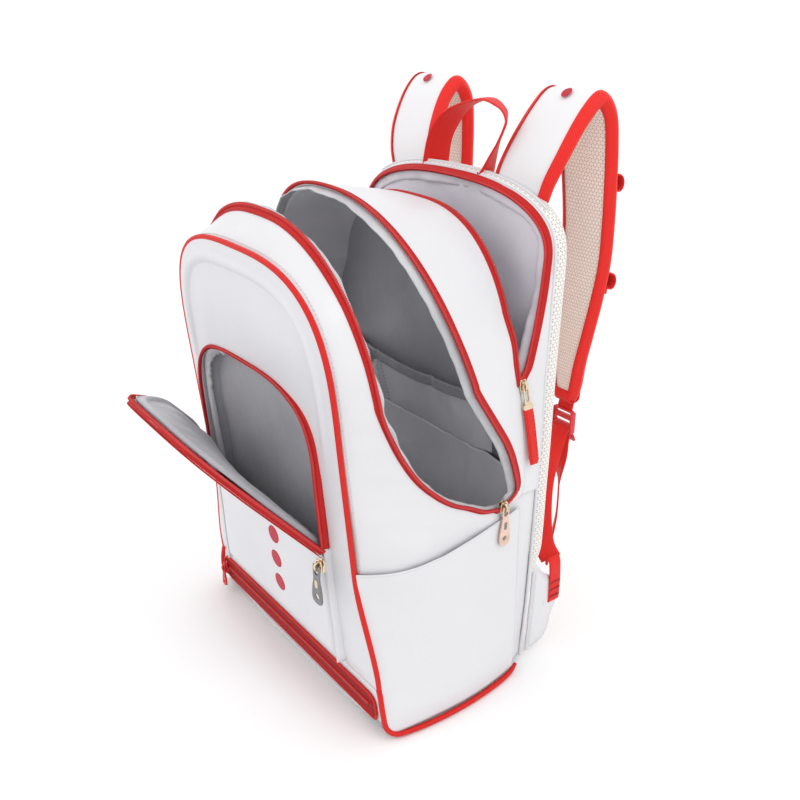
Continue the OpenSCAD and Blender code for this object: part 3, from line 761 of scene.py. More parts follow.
def front_edge(z):
    """Point on the front piping line at height z, down to the floor corner"""
    K = [(146.8, -68, 5), (146.8, -76.5, 15), (144.6, -78.6, 30), (141, -78.8, 45), (139.8, -78.6, 51)]
    if z <= 51:
        K = np.array(K)
        return tuple(np.interp(z, K[:, 2], K[:, k]) for k in range(3))
    half = L1[: len(L1) // 2 + 1]
    return tuple(np.interp(z, half[:, 2], half[:, k]) for k in range(3))


def build_sides():
    top_pocket = lambda y: np.interp(y, [-92, -75, -50, -20, 8, 36, 64],
                                     [163, 165, 167, 168, 171.5, 176, 180])
    top_wall = lambda y: np.interp(y, [-92, 36, 46, 72, 98], [156, 156, 186.5, 192, 192])
    for s, nm in ((1, "r"), (-1, "l")):
        W = side_grid(6, top_wall, 60, 110)
        W = belly(W) - V(2.6, 0, 0)
        W = W * V(s, 1, 1)
        fl = s < 0
        blend(shell("side_wall_skin_" + nm, W, "white", 1.6, flip=not fl), "low", "side_wall_" + nm)
        blend(shell("side_wall_lining_" + nm,
                    W - V(s * 2.6, 0, 0) + V(-s, 0, 0) * (1.2 * noise3(W, 40, 5)[..., None] + 1.2), "grey",
                    1.0, flip=not fl), "low")
        # slip pocket: outer layer, with a rolled edge along its mouth
        Pk = belly(side_grid(7, top_pocket, 70, 120, rear=68))
        t = np.linspace(0, 1, Pk.shape[1])[None, :]
        a = np.linspace(0, 1, Pk.shape[0])[:, None]
        puff = (4 * t * (1 - t)) ** 0.6 * (1.0 + 2.4 * a ** 2) * smooth01(a / 0.12)
        sag = 0.9 * noise3(Pk, 75, 1) + 0.5 * noise3(Pk * V(1, 1.6, 0.6), 30, 4) * a
        Pk[..., 0] += 0.9 + puff + sag * (4 * t * (1 - t)) ** 0.5
        Pk = Pk * V(s, 1, 1)
        blend(shell("side_pocket_skin_" + nm, Pk, "white", 1.3, flip=not fl), "low", "side_pocket_" + nm)
        top = Pk[-1] + V(s * -0.4, 0, 0)
        blend(tube("side_pocket_edge_" + nm, top[1:-1], 0.8, "white", (0, 0, 1), 8), "low")


def build_gusset():
    """White band from the front piping to the front edge of the main zip"""
    n = len(L1)
    A_keys = [front_edge(z) for z in (150, 168, 185, 205, 230, 255, 275)]
    A = loop(A_keys, rim_top(121.5, 291, 118, 3.1, -74, -0.09, 292), n - 1)
    A = A + V(0, 1.6, 0)
    u = np.linspace(0, 1, len(A))
    B = match(A, loop([(146.5, 52, 140), (147, 48, 163)] + L2_keys,
                      rim_top(140, 262.5, 171.5, 2.35, -40.2, -0.1078, 305)))
    h = 1.5 + 5.5 * smooth01((0.26 - np.minimum(u, 1 - u)) / 0.2)
    G = loft(A, B, 34)
    # rounded corner: the side swells out near the piping
    N = normals(G)
    out = np.sign((N * V(1, 0, 0)).sum(-1) * G[..., 0] + N[..., 2] * np.maximum(G[..., 2] - 330, 0))
    N = N * np.where(out == 0, 1, out)[..., None]
    t = np.linspace(0, 1, 34)[None, :, None]
    prof = (1 - (1 - t) ** 2.6) * (1 - t) ** 0.9 * 2.1
    G = G + N * h[:, None, None] * prof
    lowz = 1 - smooth01((A[:, 2] - 185) / 75)
    sx = np.sign(A[:, :1] + 1e-9)
    tt = np.clip((G[..., 1] - A[:, None, 1]) / 55.0, 0, 1)
    xa, xb = np.abs(A[:, :1]), np.abs(B[:, :1])
    xw = xa + (xb - xa) * (1 - (1 - tt) ** 2.3)
    G[..., 0] = G[..., 0] * (1 - lowz[:, None]) + sx * xw * lowz[:, None]
    crease = noise3(G * V(1, 0.8, 1.6), 26, 9)[..., None] * 1.6 + noise3(G, 60, 11)[..., None] * 2.0
    G = G + N * crease * (t * (1 - t) * 4) ** 0.7 * 0.9
    sgn = gusset_flip(G)
    blend(shell("front_gusset_skin", G, "white", 1.8, flip=sgn), "front", "front_gusset")
    cut = next(i for i in range(len(B)) if B[i][2] > 185)
    z = zip_edge("main_zip_front", G, -1, "front", flip=sgn, rows=(cut, len(B) - cut))
    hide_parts("main_zip_front", "side_zips")
    ln = mouth_lining("front_mouth_lining", G, -1, sgn, 6.5, 15, "seam", 15)
    blend(ln, "front", "front_lining")
    I2 = G - (normals(G) * (-1 if sgn else 1)) * 4.0 + (normals(G) * noise3(G, 30, 14)[..., None]) * 1.0
    blend(shell("front_gusset_lining", I2[:, :-3], "grey", 1.0, flip=sgn), "front")
    A2 = strip(G, 0, [3.4], 0.35, sgn)[:, 0]
    seam_stitches("front_gusset_stitch", A2, (0, 1, 0), "front")
    return G


def gusset_flip(G):
    """True when the grid normals point into the bag"""
    N = normals(G)
    C = V(0, 0, 230)
    k = G.shape[0] // 4
    v = G[k, G.shape[1] // 2] - C
    v[1] = 0
    return float((N[k, G.shape[1] // 2] * v).sum()) < 0


def match(A, B):
    """Points of B spread by the relative length along A"""
    n = len(A)
    h = n // 2 + 1
    hb = len(B) // 2 + 1
    b = resample(B[:hb], h)
    out = np.vstack([b, mirror(b[:-1][::-1])]) if n % 2 else np.vstack([b[:-1], mirror(b[:-1][::-1])])
    return out[:n]


def build_middle():
    A, B = L3, match(L3, L4b)
    G = loft(A, B, 30)
    N = normals(G)
    fl = gusset_flip(G)
    N = N * (-1 if fl else 1)
    t = np.linspace(0, 1, 30)[None, :, None]
    prof = (4 * t * (1 - t)) ** 0.8
    G = G + N * prof * (1.6 + 0.9 * noise3(G, 65, 21)[..., None] + 0.5 * noise3(G, 28, 22)[..., None])
    blend(shell("mid_band_skin", G, "white", 1.8, flip=fl), "mid", "mid_band")
    z = zip_edge("main_zip_rear", G, 0, "mid", flip=fl)
    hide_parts("main_zip_rear")
    half = len(A) // 2
    cut = next(i for i in range(half) if B[i][2] > 286)
    z2 = zip_edge("rear_zip_front", G, -1, "middle_section", flip=fl, rows=(cut, len(A) - cut))
    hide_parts("rear_zip_front")
    I = G - N * 3.6 + N * 1.3 * noise3(G, 30, 23)[..., None]
    # the mid band lining takes the brightened lining satin: painted light
    blend(shell("mid_band_lining", I[:, 1:], "lining_painted_light", 1.0, flip=fl), "mid", "mid_lining")
    l2 = mouth_lining("mid_mouth_lining", G, 0, fl, 7.5, 15, "seam", 25)
    l3 = mouth_lining("mid_rear_lining", G[cut:len(A) - cut], -1, fl, 3.0, 12, "seam", 26)
    ride(l3, "middle_section")
    blend(l2, "mid")
    # divider at the back of the main compartment, lined on both faces
    D = panel_rows(L4, 60, 61)
    D = np.vstack([[[(x, 98.0 - DIVIDER_SLOPE * zz, zz) for x in np.linspace(1, -1, 61) * w]
                    for zz, w in ((207, 137), (220, 136), (235, 134.5), (250, 133), (265, 130),
                                  (277, 127.5))], D])
    D = D * V(0.975, 1, 1)
    D[..., 1] = (96.2 - DIVIDER_SLOPE * D[..., 2] - 0.6
                 - 3.0 * smooth01((D[..., 2] - 200) / 60) * (1 - smooth01((D[..., 2] - 330) / 90))
                 * (1 - (D[..., 0] / 140) ** 2))
    D[..., 2] = np.minimum(D[..., 2], 422.5)
    D[..., 1] += 1.3 * noise3(D, 55, 24)
    ride(shell("divider_sheet", D, "grey", 3.2, flip=False), "middle_section", "mid_divider")
    return G


def build_rear():
    A, B = L5b, match(L5b, BE)
    G = loft(A, B, 22)
    fl = gusset_flip(G)
    N = normals(G) * (-1 if fl else 1)
    t = np.linspace(0, 1, 22)[None, :, None]
    G = G + N * (4 * t * (1 - t)) ** 0.7 * (1.2 + 0.7 * noise3(G, 50, 31)[..., None])
    ride(shell("rear_gusset_skin", G, "white", 1.8, flip=fl), "shell", "rear_gusset")
    cut = next(i for i in range(len(A) // 2) if A[i][2] > 287)
    z = zip_edge("rear_zip_back", G, 0, "shell", flip=fl, rows=(cut, len(A) - cut))
    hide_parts("rear_zip_back")
    I = G - N * 3.0
    ride(shell("rear_gusset_lining", I, "grey", 1.0, flip=fl), "shell")
    # the rear mouth lining takes the brightened lilac satin: painted light
    l3 = mouth_lining("rear_mouth_lining", G[cut:len(A) - cut], 0, fl, 9.0, 12, "lavender_painted_light", 35)
    ride(l3, "shell")
    # lining sheet in front of the back panel, in the brightened lining satin: painted light
    H = panel_rows(BE, 60, 61)
    H = np.vstack([[[(x, 90 + 0.05 * zz, zz) for x in np.linspace(1, -1, 61) * 134]
                    for zz in np.linspace(8, 180, 14)], H * V(0.965, 1, 1)])
    H[..., 1] = 87.2 + BACK_SLOPE * H[..., 2] + 0.9 * noise3(H * V(1, 1, 0.6), 40, 33)
    H[..., 2] = np.minimum(H[..., 2], 441)
    ride(shell("back_lining_sheet", H, "lavender_painted_light", 1.2, flip=False), "shell", "back_lining")
    return G


# ------------------------------------------------------------------ front pocket and its flap
PK_Y = lambda z: -90.5 - 0.06 * z
PN_Y = lambda z: -74 - 0.09 * z


def pocket_arch(w, h, z_from, off=0.0, n=150):
    """Arch of the pocket in its own plane, right foot to left foot"""
    A = arch(w, 236, h, 3.3, 0, 0, 236, 121)
    legs = [(w + (100 - 96) * (1 - float(smooth01((z - 62) / 98))), 0, z)
            for z in np.linspace(z_from, 234, 14)]
    P = np.vstack([legs, A, mirror(np.array(legs)[::-1])])
    P = resample(P, n)
    P[:, 1] = PK_Y(P[:, 2]) + off
    return P


def build_pocket():
    # gusset ring round the mouth, from the panel to the front edge of the pocket
    F = pocket_arch(96, 78, 62)
    B = F.copy()
    B[:, 1] = PN_Y(B[:, 2]) - 1.5
    B[:, 0] *= 1.012
    B[:, 2] += np.where(B[:, 2] > 236, 1.5, 0)
    G = bulged(B, F, 12, 1.0, 0.5, 40, 41)
    fl = gusset_flip(G)
    ride(shell("pocket_gusset_skin", G, "white", 1.8, flip=fl), "front_section", "pocket_front")
    ride(tube("pocket_base_seam", B + V(0, -0.6, 0), 0.9, "white_panel", (0, 1, 0), 8), "front_section")
    # zip edge round the mouth: the part above the fold line
    half = len(F) // 2
    cut = next(i for i in range(half) if F[i][2] > 176)
    T = G[cut:len(F) - cut]
    z = zip_edge("pocket_zip", T, -1, "front_section", lift=0.8, flip=fl, width=5.0, out=1.4)
    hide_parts("pocket_zip")
    # lining inside the mouth, then the bag behind
    I = strip(T, -1, np.linspace(-0.4, 10, 5), -2.2, fl)
    ride(shell("pocket_mouth_lining", I, "grey", 1.1, flip=not fl), "front_section")
    rowsn, cols = 70, 71
    R = resample(pocket_arch(92.5, 74.5, 68)[:76], rowsn)
    x = np.cos(np.linspace(0, np.pi, cols)) * 0.3 + 0.7 * np.linspace(1, -1, cols)
    W = np.stack([R[:, None, 0] * x[None], np.zeros((rowsn, cols)), np.repeat(R[:, 2:3], cols, 1)], -1)
    ln = pocket_arch(92.5, 74.5, 60)
    d = edge_dist(W, ln)
    depth = 25.0 * (1 - np.exp(-d / 11.0))
    W[..., 1] = (PN_Y(W[..., 2]) - 4 + depth + 1.6 * noise3(W * V(1, 1, 0.7), 42, 43) * smooth01(d / 20)
                 + 0.7 * noise3(W, 17, 44) * smooth01(d / 15))
    ride(shell("pocket_bag_sheet", W, "grey", 1.0, flip=False), "front_section", "pocket_bag")
    # lower wall of the pocket
    zz = np.linspace(61, 177, 46)
    xx = np.linspace(1, -1, 61)
    H = np.zeros((46, 61, 3))
    for i, zv in enumerate(zz):
        w = 96 + 4 * (1 - float(smooth01((zv - 62) / 98)))
        edge = np.clip((1 - np.abs(xx)) * w / 9.0, 0, 1)
        low = np.clip((zv - 61) / 15.0, 0, 1)
        r = min(1, low)
        front = PK_Y(zv) - 0.2
        back = PN_Y(zv)
        k = (1 - (1 - edge) ** 2.6) * (1 - (1 - r) ** 2.6)
        y = back - 1.5 + (front - back + 1.0) * k
        H[i] = np.stack([xx * w, y, np.full(61, zv)], 1)
    prof = smooth01((1 - np.abs(xx))[None] / 0.25) * smooth01((H[..., 2] - 66) / 30)
    H[..., 1] -= prof * (1.6 + 1.3 * noise3(H, 55, 45)) * smooth01((186 - H[..., 2]) / 20)
    ride(shell("pocket_wall_skin", H, "white_panel", 1.8, flip=False), "front_section")
    ride(shell("pocket_wall_lining", H[3:] * V(0.975, 1, 1) + V(0, 3.4, 0), "grey", 0.8, flip=True),
         "front_section")
    seam_stitches("pocket_wall_stitch", np.stack([xx[3:-3] * 97, [PN_Y(66) - 6.5] * 55, [65.5] * 55], 1),
                  (0, 0, 1), "front_section")
    # three plain round dots on the lower wall
    across, up = disc_grid()
    for i, zc in enumerate((100, 126, 152)):
        X, Z = 15 + 8.5 * across, zc + 8.5 * up
        Y = np.array([[surf_y(H, x, z) for x, z in zip(*row)] for row in zip(X, Z)]) - 0.18
        ride(shell("pocket_dot_%d" % i, np.stack([X, Y, Z], 2), "print", 0.25, flip=False), "front_section")
    return H


def disc_grid(n=15):
    """A square grid pressed into a round one, rows rising and columns falling"""
    u, v = np.meshgrid(np.linspace(1, -1, n), np.linspace(-1, 1, n))
    return u * np.sqrt(1 - v * v / 2), v * np.sqrt(1 - u * u / 2)


def surf_y(H, x, z):
    i = int(np.clip(np.searchsorted(H[:, 0, 2], z) - 1, 0, H.shape[0] - 2))
    t = (z - H[i, 0, 2]) / (H[i + 1, 0, 2] - H[i, 0, 2])
    row = H[i] * (1 - t) + H[i + 1] * t
    return float(np.interp(-x, -row[:, 0], row[:, 1]))


def tilt(P, deg=40.7, y0=-101, z0=FOLD_Z):
    a = math.radians(deg)
    P = np.array(P, float)
    y, z = P[..., 1].copy(), P[..., 2].copy()
    P[..., 1] = y0 + y * math.cos(a) - z * math.sin(a)
    P[..., 2] = z0 + y * math.sin(a) + z * math.cos(a)
    return P


def flap_lift(P):
    """Slack of the hanging flap: the far side stands a little higher"""
    z = P[..., 2]
    return (15.0 * smooth01(z / 60) * (1 - 0.8 * smooth01((z - 85) / 50))
            * np.clip(0.5 - 0.5 * P[..., 0] / 96, 0, 1) ** 1.2)


def build_flap():
    A = arch(96, 61, 78, 3.3, 0, 0, 61, 121)
    legs = [(96, 0, z) for z in np.linspace(1.5, 60, 10)]
    E = resample(np.vstack([legs, A, mirror(np.array(legs)[::-1])]), 161)
    half = E[:81]
    nr, nc = 80, 81
    R = resample(half, nr)
    x = np.cos(np.linspace(0, np.pi, nc)) * 0.3 + 0.7 * np.linspace(1, -1, nc)
    G = np.stack([R[:, None, 0] * x[None], np.zeros((nr, nc)), np.repeat(R[:, 2:3], nc, 1)], -1)
    d = edge_dist(G, E)
    up = smooth01(G[..., 2] / 14)
    # outer face: flat with a soft crown, curling to the zip edge
    O = G.copy()
    O[..., 1] = -2.3 - 1.2 * smooth01(d / 12) + 1.6 * np.exp(-d / 2.5) - 1.1 * noise3(G, 55, 51) * up
    O[..., 1] += flap_lift(O)
    O = tilt(O)
    ride(shell("flap_outer_skin", O, "white_panel", 1.4, flip=False), "pocket_flap", "flap_panel")
    # padded lining with a rolled rim along the zip and a hollow field
    I = G.copy() * V(0.965, 1, 1)
    I[..., 2] = G[..., 2] * 0.975 + 1
    d2 = edge_dist(I, E * V(0.965, 1, 0.975))
    I[..., 1] = (0.2 + 5.2 * np.sqrt(np.clip(1 - ((np.clip(d2, 0, 9) - 4.5) / 4.7) ** 2, 0, 1))
                 * smooth01(G[..., 2] / 10) * (d2 < 9)
                 + np.where(d2 >= 9, 2.6 + 1.2 * noise3(I, 30, 52)
                        + 0.8 * noise3(I * V(1, 1, 0.5), 14, 53), 0))
    I[..., 1] += flap_lift(I) + 3.5 * np.exp(-((d2 - 30) / 26) ** 2)
    n_i = shell("flap_lining_pad", tilt(I), "grey", 1.0, flip=True)
    ride(n_i, "pocket_flap", "flap_lining")
    # zip round the rim
    Ez = E.copy()
    Fr, Bk = Ez.copy(), Ez.copy()
    Fr[:, 1] = -3.2 + flap_lift(E)
    Bk[:, 1] = 1.6 + flap_lift(E)
    Gz = tilt(loft(Bk, Fr, 6))
    fl = gusset_flip(loft(Bk, Fr, 6) + V(0, 0, 175))
    t = shell("flap_zip_tape", Gz, "tape", 1.6, flip=fl)
    coil = tilt(E * V(1.008, 1, 1.006) + np.stack([0 * E[:, 0], 0.6 + flap_lift(E), 0 * E[:, 0]], 1))
    cc = tube("flap_zip_coil", coil, 1.3, "teeth", (0, 1, 0), 8)
    tt = blocks("flap_zip_teeth", coil, (0, 0.76, 0.65), (0.95, 3.3, 2.9), 1.75, "teeth")
    O2 = strip(np.stack([tilt(np.stack([E[:, 0] * (1 - k), E[:, 1] - 3.4 + k * 2 + flap_lift(E),
                                        E[:, 2] * (1 - k * 0.7) + k * 20], 1)) for k in (0, 0.04, 0.08)],
                        1), 0, [0, 3.2, 6.5], 0, False)
    rim = shell("flap_zip_face", O2 + V(0, -0.4, 0), "tape", 0.9, flip=True)
    st = blocks("flap_zip_stitch", O2[:, -1] + V(0, -1.0, 0), (0, 0, 1), (2.3, 0.5, 0.45), 3.4, "thread_red")
    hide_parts("flap_zip")
    for q in (t, cc, tt, rim, st):
        ride(q, "pocket_flap")
    # fold of white cloth that joins the flap to the wall
    xx = np.linspace(95, -95, 61)
    K = []
    for k, (dy, dz) in enumerate(((0.6, -7), (-0.6, -4), (-1.8, -1.5), (-2.6, 0.8), (-4.0, 2.6),
                                  (-5.6, 4.4))):
        K.append(np.stack([xx, np.full(61, PK_Y(FOLD_Z + dz) + dy - 1.0), np.full(61, FOLD_Z + dz)], 1))
    Gf = np.stack(K, 0)
    f = shell("flap_fold", Gf, "white_panel", 1.2, flip=False)
    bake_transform(f)


# ------------------------------------------------------------------ lower front with the ribbed red band
def build_lower_front():
    xs = np.linspace(1, -1, 91)
    zs = [5.2, 6.5, 9, 13, 18, 24, 30, 36, 42, 47, 51.5]
    G = np.zeros((len(zs), 91, 3))
    for i, z in enumerate(zs):
        xe, ye, _ = front_edge(z)
        e = np.clip((1 - np.abs(xs)) * xe / 14.0, 0, 1)
        y = ye - 1.2 * (1 - (1 - e) ** 2.2) + 8.0 * smooth01((12 - z) / 9) ** 1.5
        G[i] = np.stack([xs * xe, y, np.full(91, z)], 1)
    ride(shell("front_lip_skin", G, "white_panel", 1.6, flip=False), "shell", "front_lip")
    # two ribbed tapes either side of a coil, with rounded ends
    def band_y(x, z):
        return surf_y(G[2:-1], x, min(max(z, 9.1), 46.9)) - 0.7
    n = 160
    x = np.linspace(137, -137, n)
    cap = np.sqrt(np.clip(1 - ((np.abs(x) - 126) / 11.0).clip(0, 1) ** 2, 0, 1))
    rows = []
    for k in np.linspace(-1, 1, 45):
        z = 27.5 + 14.3 * k * (0.25 + 0.75 * cap)
        rib = 0.55 * np.cos(k * math.pi * 8) if abs(k) > 0.12 else -0.5
        y = np.array([band_y(a, b) for a, b in zip(x, z)]) - rib - 0.5
        rows.append(np.stack([x, y, z], 1))
    ride(shell("base_zip_band", np.stack(rows, 0), "ribbed", 1.0, flip=False), "shell", "shoe_zip")
    C = np.stack([x[6:-6], np.array([band_y(a, 30) for a in x[6:-6]]) - 0.6, np.full(n - 12, 30.0)], 1)
    c = tube("base_zip_coil", C, 1.5, "teeth", (0, 0, 1), 8)
    ct = blocks("base_zip_teeth", C, (0, 0, 1), (1.0, 4.0, 3.2), 1.8, "teeth")
    ride(c, "shell")
    ride(ct, "shell")
    Eo = []
    for k in (-1, 1):
        z = 27.5 + 14.5 * k * (0.25 + 0.75 * cap)
        Eo.append(np.stack([x, np.array([band_y(a, b) for a, b in zip(x, z)]) - 0.9, z], 1))
    ring = np.vstack([Eo[0], Eo[1][::-1], Eo[0][:1]])
    ride(tube("base_zip_edge", ring, 1.2, "piping", (0, 1, 0), 8), "shell")


def build_base():
    """Base panel with rounded corners, slightly dished, and the box lining"""
    n = 120
    a = np.linspace(0, 2 * np.pi, n, endpoint=False)
    p = 5.0
    ex = np.sign(np.cos(a)) * np.abs(np.cos(a)) ** (2 / p) * 146.5
    ey = np.sign(np.sin(a)) * np.abs(np.sin(a)) ** (2 / p) * 81.0 + 4.0
    rings = []
    for k, z in ((0.0, 3.2), (0.5, 3.2), (0.9, 3.0), (0.96, 1.6), (0.985, 0.2), (0.975, 0.0), (0.9, 0.0),
                 (0.4, 0.0), (0.0, 0.0)):
        rings.append(np.stack([ex * k, (ey - 4) * k + 4, np.full(n, z)], 1))
    G = belly(np.stack(rings, 1))
    F = grid_faces(n, len(rings), close_u=True)
    ob = put("base_panel_board", G.reshape(-1, 3), F, "white", grid_uv(G))
    clean(ob)
    ride(ob, "shell", "base_panel")
    lx, ly = np.linspace(-136, 136, 41), np.linspace(-72, 84, 31)
    L = flat_grid(lx, ly)
    L[..., 2] = 5.4 + 0.9 * (1 + noise3(L, 45, 61))
    ride(shell("base_lining_sheet", L, "grey", 0.8), "shell")
    # low divider between the two main compartments
    D = flat_grid(np.linspace(6, 198, 40), np.linspace(136, -136, 61))
    D = D[..., [1, 2, 0]]
    D[..., 1] = 68 + 1.2 * noise3(D, 50, 62) + 9.6 * smooth01((D[..., 2] - 150) / 55)
    ride(shell("low_divider_sheet", D, "grey", 2.4, flip=True), "shell", "lower_divider")
    # lining of the lower front wall
    W = flat_grid(np.linspace(6, 60, 14), np.linspace(139, -139, 61))
    W = W[..., [1, 2, 0]]
    W[..., 1] = -74 + 0.8 * noise3(W, 40, 63)
    ride(shell("front_lip_lining", W, "grey", 0.8, flip=True), "shell")


def clean(ob):
    bm = bmesh.new()
    bm.from_mesh(ob.data)
    bmesh.ops.remove_doubles(bm, verts=bm.verts, dist=1e-6)
    bmesh.ops.dissolve_degenerate(bm, edges=bm.edges, dist=1e-7)
    bmesh.ops.recalc_face_normals(bm, faces=bm.faces)
    bm.to_mesh(ob.data)
    bm.free()


# ------------------------------------------------------------------ sleeve on the divider
def build_sleeve():
    nz, nx = 34, 81
    x = np.linspace(100, -100, nx)
    G = np.zeros((nz, nx, 3))
    for i in range(nz):
        z = 211 + 57 * i / (nz - 1)
        k = i / (nz - 1)
        pocket_l = np.exp(-((x - 32) / 5.0) ** 2) * 3.5 * k
        pocket_r = np.exp(-((x + 50) / 2.2) ** 2) * 2.0
        open_ = 3.0 + 10.5 * k * (1 - np.abs(x / 100) ** 3)
        y = 77.2 - DIVIDER_SLOPE * (z - 210) - 1.6 - open_ * (1 - np.abs(x / 100) ** 10)
        y = y + pocket_l + pocket_r
        G[i] = np.stack([x, y, np.full(nx, z) - 1.2 * k * np.cos(x / 30)], 1)
    G[..., 1] += (0.9 * noise3(G, 22, 71) + 0.6 * noise3(G * V(1, 1, 0.4), 11, 72)
                  + 2.6 * noise3(G * V(1, 1, 0.12), 15, 75) * smooth01((G[..., 0] + 10) / 60))
    # the sleeve and its foot take the brightened lining satin: painted light and painted highlights
    ride(shell("sleeve_sheet", G, "lining_painted_light", 1.1, flip=False), "middle_section", "sleeve")
    # foot of the sleeve, sewn down along the low divider
    Z = np.linspace(146, 210.5, 26)
    Lw = np.repeat(G[:1], 26, 0)
    Lw[..., 0] *= 1.3
    Lw[..., 2] = Z[:, None]
    Lw[..., 1] = (63.6 + 9.2 * smooth01((Z[:, None] - 146) / 62)
                  + 2.6 * noise3(Lw * V(1, 1, 0.12), 15, 75) * smooth01((Lw[..., 0] + 10) / 60))
    ride(shell("sleeve_foot_sheet", Lw, "lining_painted_light", 1.0, flip=False), "shell")
    ride(shell("sleeve_hem", G[-7:] + V(0, -0.7, 0.3), "grey", 1.0, flip=False), "middle_section")
    seam_stitches("sleeve_hem_stitch", G[-7] + V(0, -1.3, 0), (0, 0, 1), "middle_section", "thread_grey")
    for j in (58, 62):
        seam_stitches("sleeve_seam_stitch_%d" % j, G[2:-2, j] + V(0, -0.7, 0), (1, 0, 0), "middle_section",
                      "thread_grey")
    T = flat_grid(np.linspace(0, 13, 5), np.linspace(0, 24, 9))
    Q = np.stack([-60 - T[..., 1], np.full(T.shape[:2], 0.0), 252 + T[..., 0]], -1)
    for a in range(Q.shape[0]):
        for b in range(Q.shape[1]):
            zz, xx = Q[a, b, 2], Q[a, b, 0]
            Q[a, b, 1] = surf_y(G, xx, zz) - 2.0 - 0.8 * math.sin(b * 0.5)
    ride(shell("label_tab_sheet", Q, "seam", 0.7, flip=False), "middle_section", "label_tab")


# ------------------------------------------------------------------ back
def coords(me):
    a = np.empty(len(me.vertices) * 3)
    me.vertices.foreach_get("co", a)
    return a.reshape(-1, 3) * 1000


def puffed(ob, held, cap=2.5):
    """Cloth blown up from inside; its swelling and wrinkles are carried back to the drawn mesh"""
    sc = bpy.context.scene
    tmp = bpy.data.objects.new(ob.name + "_cloth", ob.data.copy())
    sc.collection.objects.link(tmp)
    r = tmp.modifiers.new("remesh", "REMESH")
    r.mode = "VOXEL"
    r.voxel_size = 0.005
    me = bpy.data.meshes.new_from_object(tmp.evaluated_get(bpy.context.evaluated_depsgraph_get()))
    tmp.modifiers.clear()
    tmp.data = me
    P0 = coords(me)
    g = tmp.vertex_groups.new(name="held")
    g.add([int(i) for i in np.nonzero(held(P0))[0]], 1.0, "REPLACE")
    c = tmp.modifiers.new("cloth", "CLOTH")
    c.settings.quality = 6
    c.settings.use_pressure = True
    c.settings.uniform_pressure_force = 4.0
    c.settings.vertex_group_mass = "held"
    c.settings.effector_weights.gravity = 0
    c.point_cache.frame_start, c.point_cache.frame_end = 1, 20
    for f in range(1, 21):
        sc.frame_set(f)
    P1 = coords(tmp.evaluated_get(bpy.context.evaluated_depsgraph_get()).to_mesh())
    sc.frame_set(1)
    D = P1 - P0
    L = np.linalg.norm(D, axis=1, keepdims=True) + 1e-9
    D = D * np.minimum(1, cap / L)
    kd = mathutils.kdtree.KDTree(len(P0))
    for i, q in enumerate(P0):
        kd.insert(q, i)
    kd.balance()
    Q = coords(ob.data)
    out = np.empty_like(Q)
    for i, q in enumerate(Q):
        near = kd.find_n(q, 5)
        w = np.array([1 / (n[2] + 0.8) ** 2 for n in near])
        out[i] = q + (D[[n[1] for n in near]] * w[:, None]).sum(0) / w.sum()
    ob.data.vertices.foreach_set("co", (out * 0.001).ravel())
    ob.data.update()
    bpy.data.objects.remove(tmp)
    bpy.data.meshes.remove(me)


def build_back():
    H = panel_rows(BE, 70, 71)
    lowrows = [[(x * (139 + (0.6 if zz > 30 else 0)), 0, zz) for x in np.linspace(1, -1, 71)]
               for zz in np.linspace(5, 181, 22)]
    G = np.vstack([lowrows, H])
    G[..., 1] = 95.0 + BACK_SLOPE * G[..., 2]
    e = np.abs(G[..., 0]) / (np.abs(G[..., :1, 0]) + 1e-6)
    G[..., 1] += 1.0 * (1 - e ** 6) - 4.5 * smooth01((e - 0.93) / 0.07) + 0.8 * noise3(G, 60, 81)
    low = smooth01((26 - G[..., 2]) / 22)
    G[..., 1] -= 6 * low
    ride(shell("back_panel_skin", G, "white", 2.0, flip=True), "shell", "back_panel")
    # edge of the back: white fold that meets the sides
    low2 = [tuple(p) for p in BE_low[:-1]]
    E = loop(low2 + BE_keys, rim_top(129.5, 390, 55, 2.43, 90, 0.0535, 392))
    ride(tube("back_edge_binding", E + V(0, -1.2, 0), 1.6, "white", (0, 1, 0), 10), "shell")
    # rolled mesh side of the padded back
    cut = next(i for i in range(len(E)) if E[i][2] > 96)
    Em = E[cut:len(E) - cut]
    T = np.gradient(Em, axis=0)
    T[:, 1] = 0
    T /= np.linalg.norm(T, axis=1, keepdims=True)
    O = np.cross(V(0, 1, 0), T)
    O = O * np.sign((O[len(Em) // 8] * V(1, 0, 0)).sum())
    tap = smooth01(np.arange(len(Em)) / 8.0) * smooth01((len(Em) - 1 - np.arange(len(Em))) / 8.0)
    prof = [(-2.2, -1.5), (0.6, -0.6), (1.7, 2.0), (1.8, 5.5), (1.0, 8.6), (-1.2, 10.8), (-4.8, 11.8),
            (-9, 11.4)]
    Gm = np.stack([Em + O * (a * (0.3 + 0.7 * tap))[:, None]
                   + V(0, 1, 0) * (b * (0.35 + 0.65 * tap))[:, None] for a, b in prof], 1)
    ride(shell("back_side_mesh", Gm, "airmesh_white", 1.2), "shell")
    # two mesh pads with a channel between them
    for s, nm in ((1, "r"), (-1, "l")):
        pad = mesh_pad(s, nm)
        puffed(pad, lambda P: (P[:, 1] < 97.5 + BACK_SLOPE * P[:, 2])
               | (np.min([abs(P[:, 2] - z - 0.10 * (abs(P[:, 0]) - 60)) for z in PAD_CHANNELS], 0) < 2.6))
        ride(pad, "shell")
        if s == 1:
            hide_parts("back_mesh")
    # channel of open mesh between the pads
    Z = np.linspace(98, 408, 60)
    X = np.linspace(11, -11, 9)
    C = np.stack([np.stack([X, np.full(9, 97.2 + BACK_SLOPE * z), np.full(9, z)], 1) for z in Z], 0)
    ride(shell("back_channel_mesh", C, "airmesh_white", 1.0, flip=True), "shell")


def fixn(ob):
    bm = bmesh.new()
    bm.from_mesh(ob.data)
    bmesh.ops.recalc_face_normals(bm, faces=bm.faces)
    bm.to_mesh(ob.data)
    bm.free()


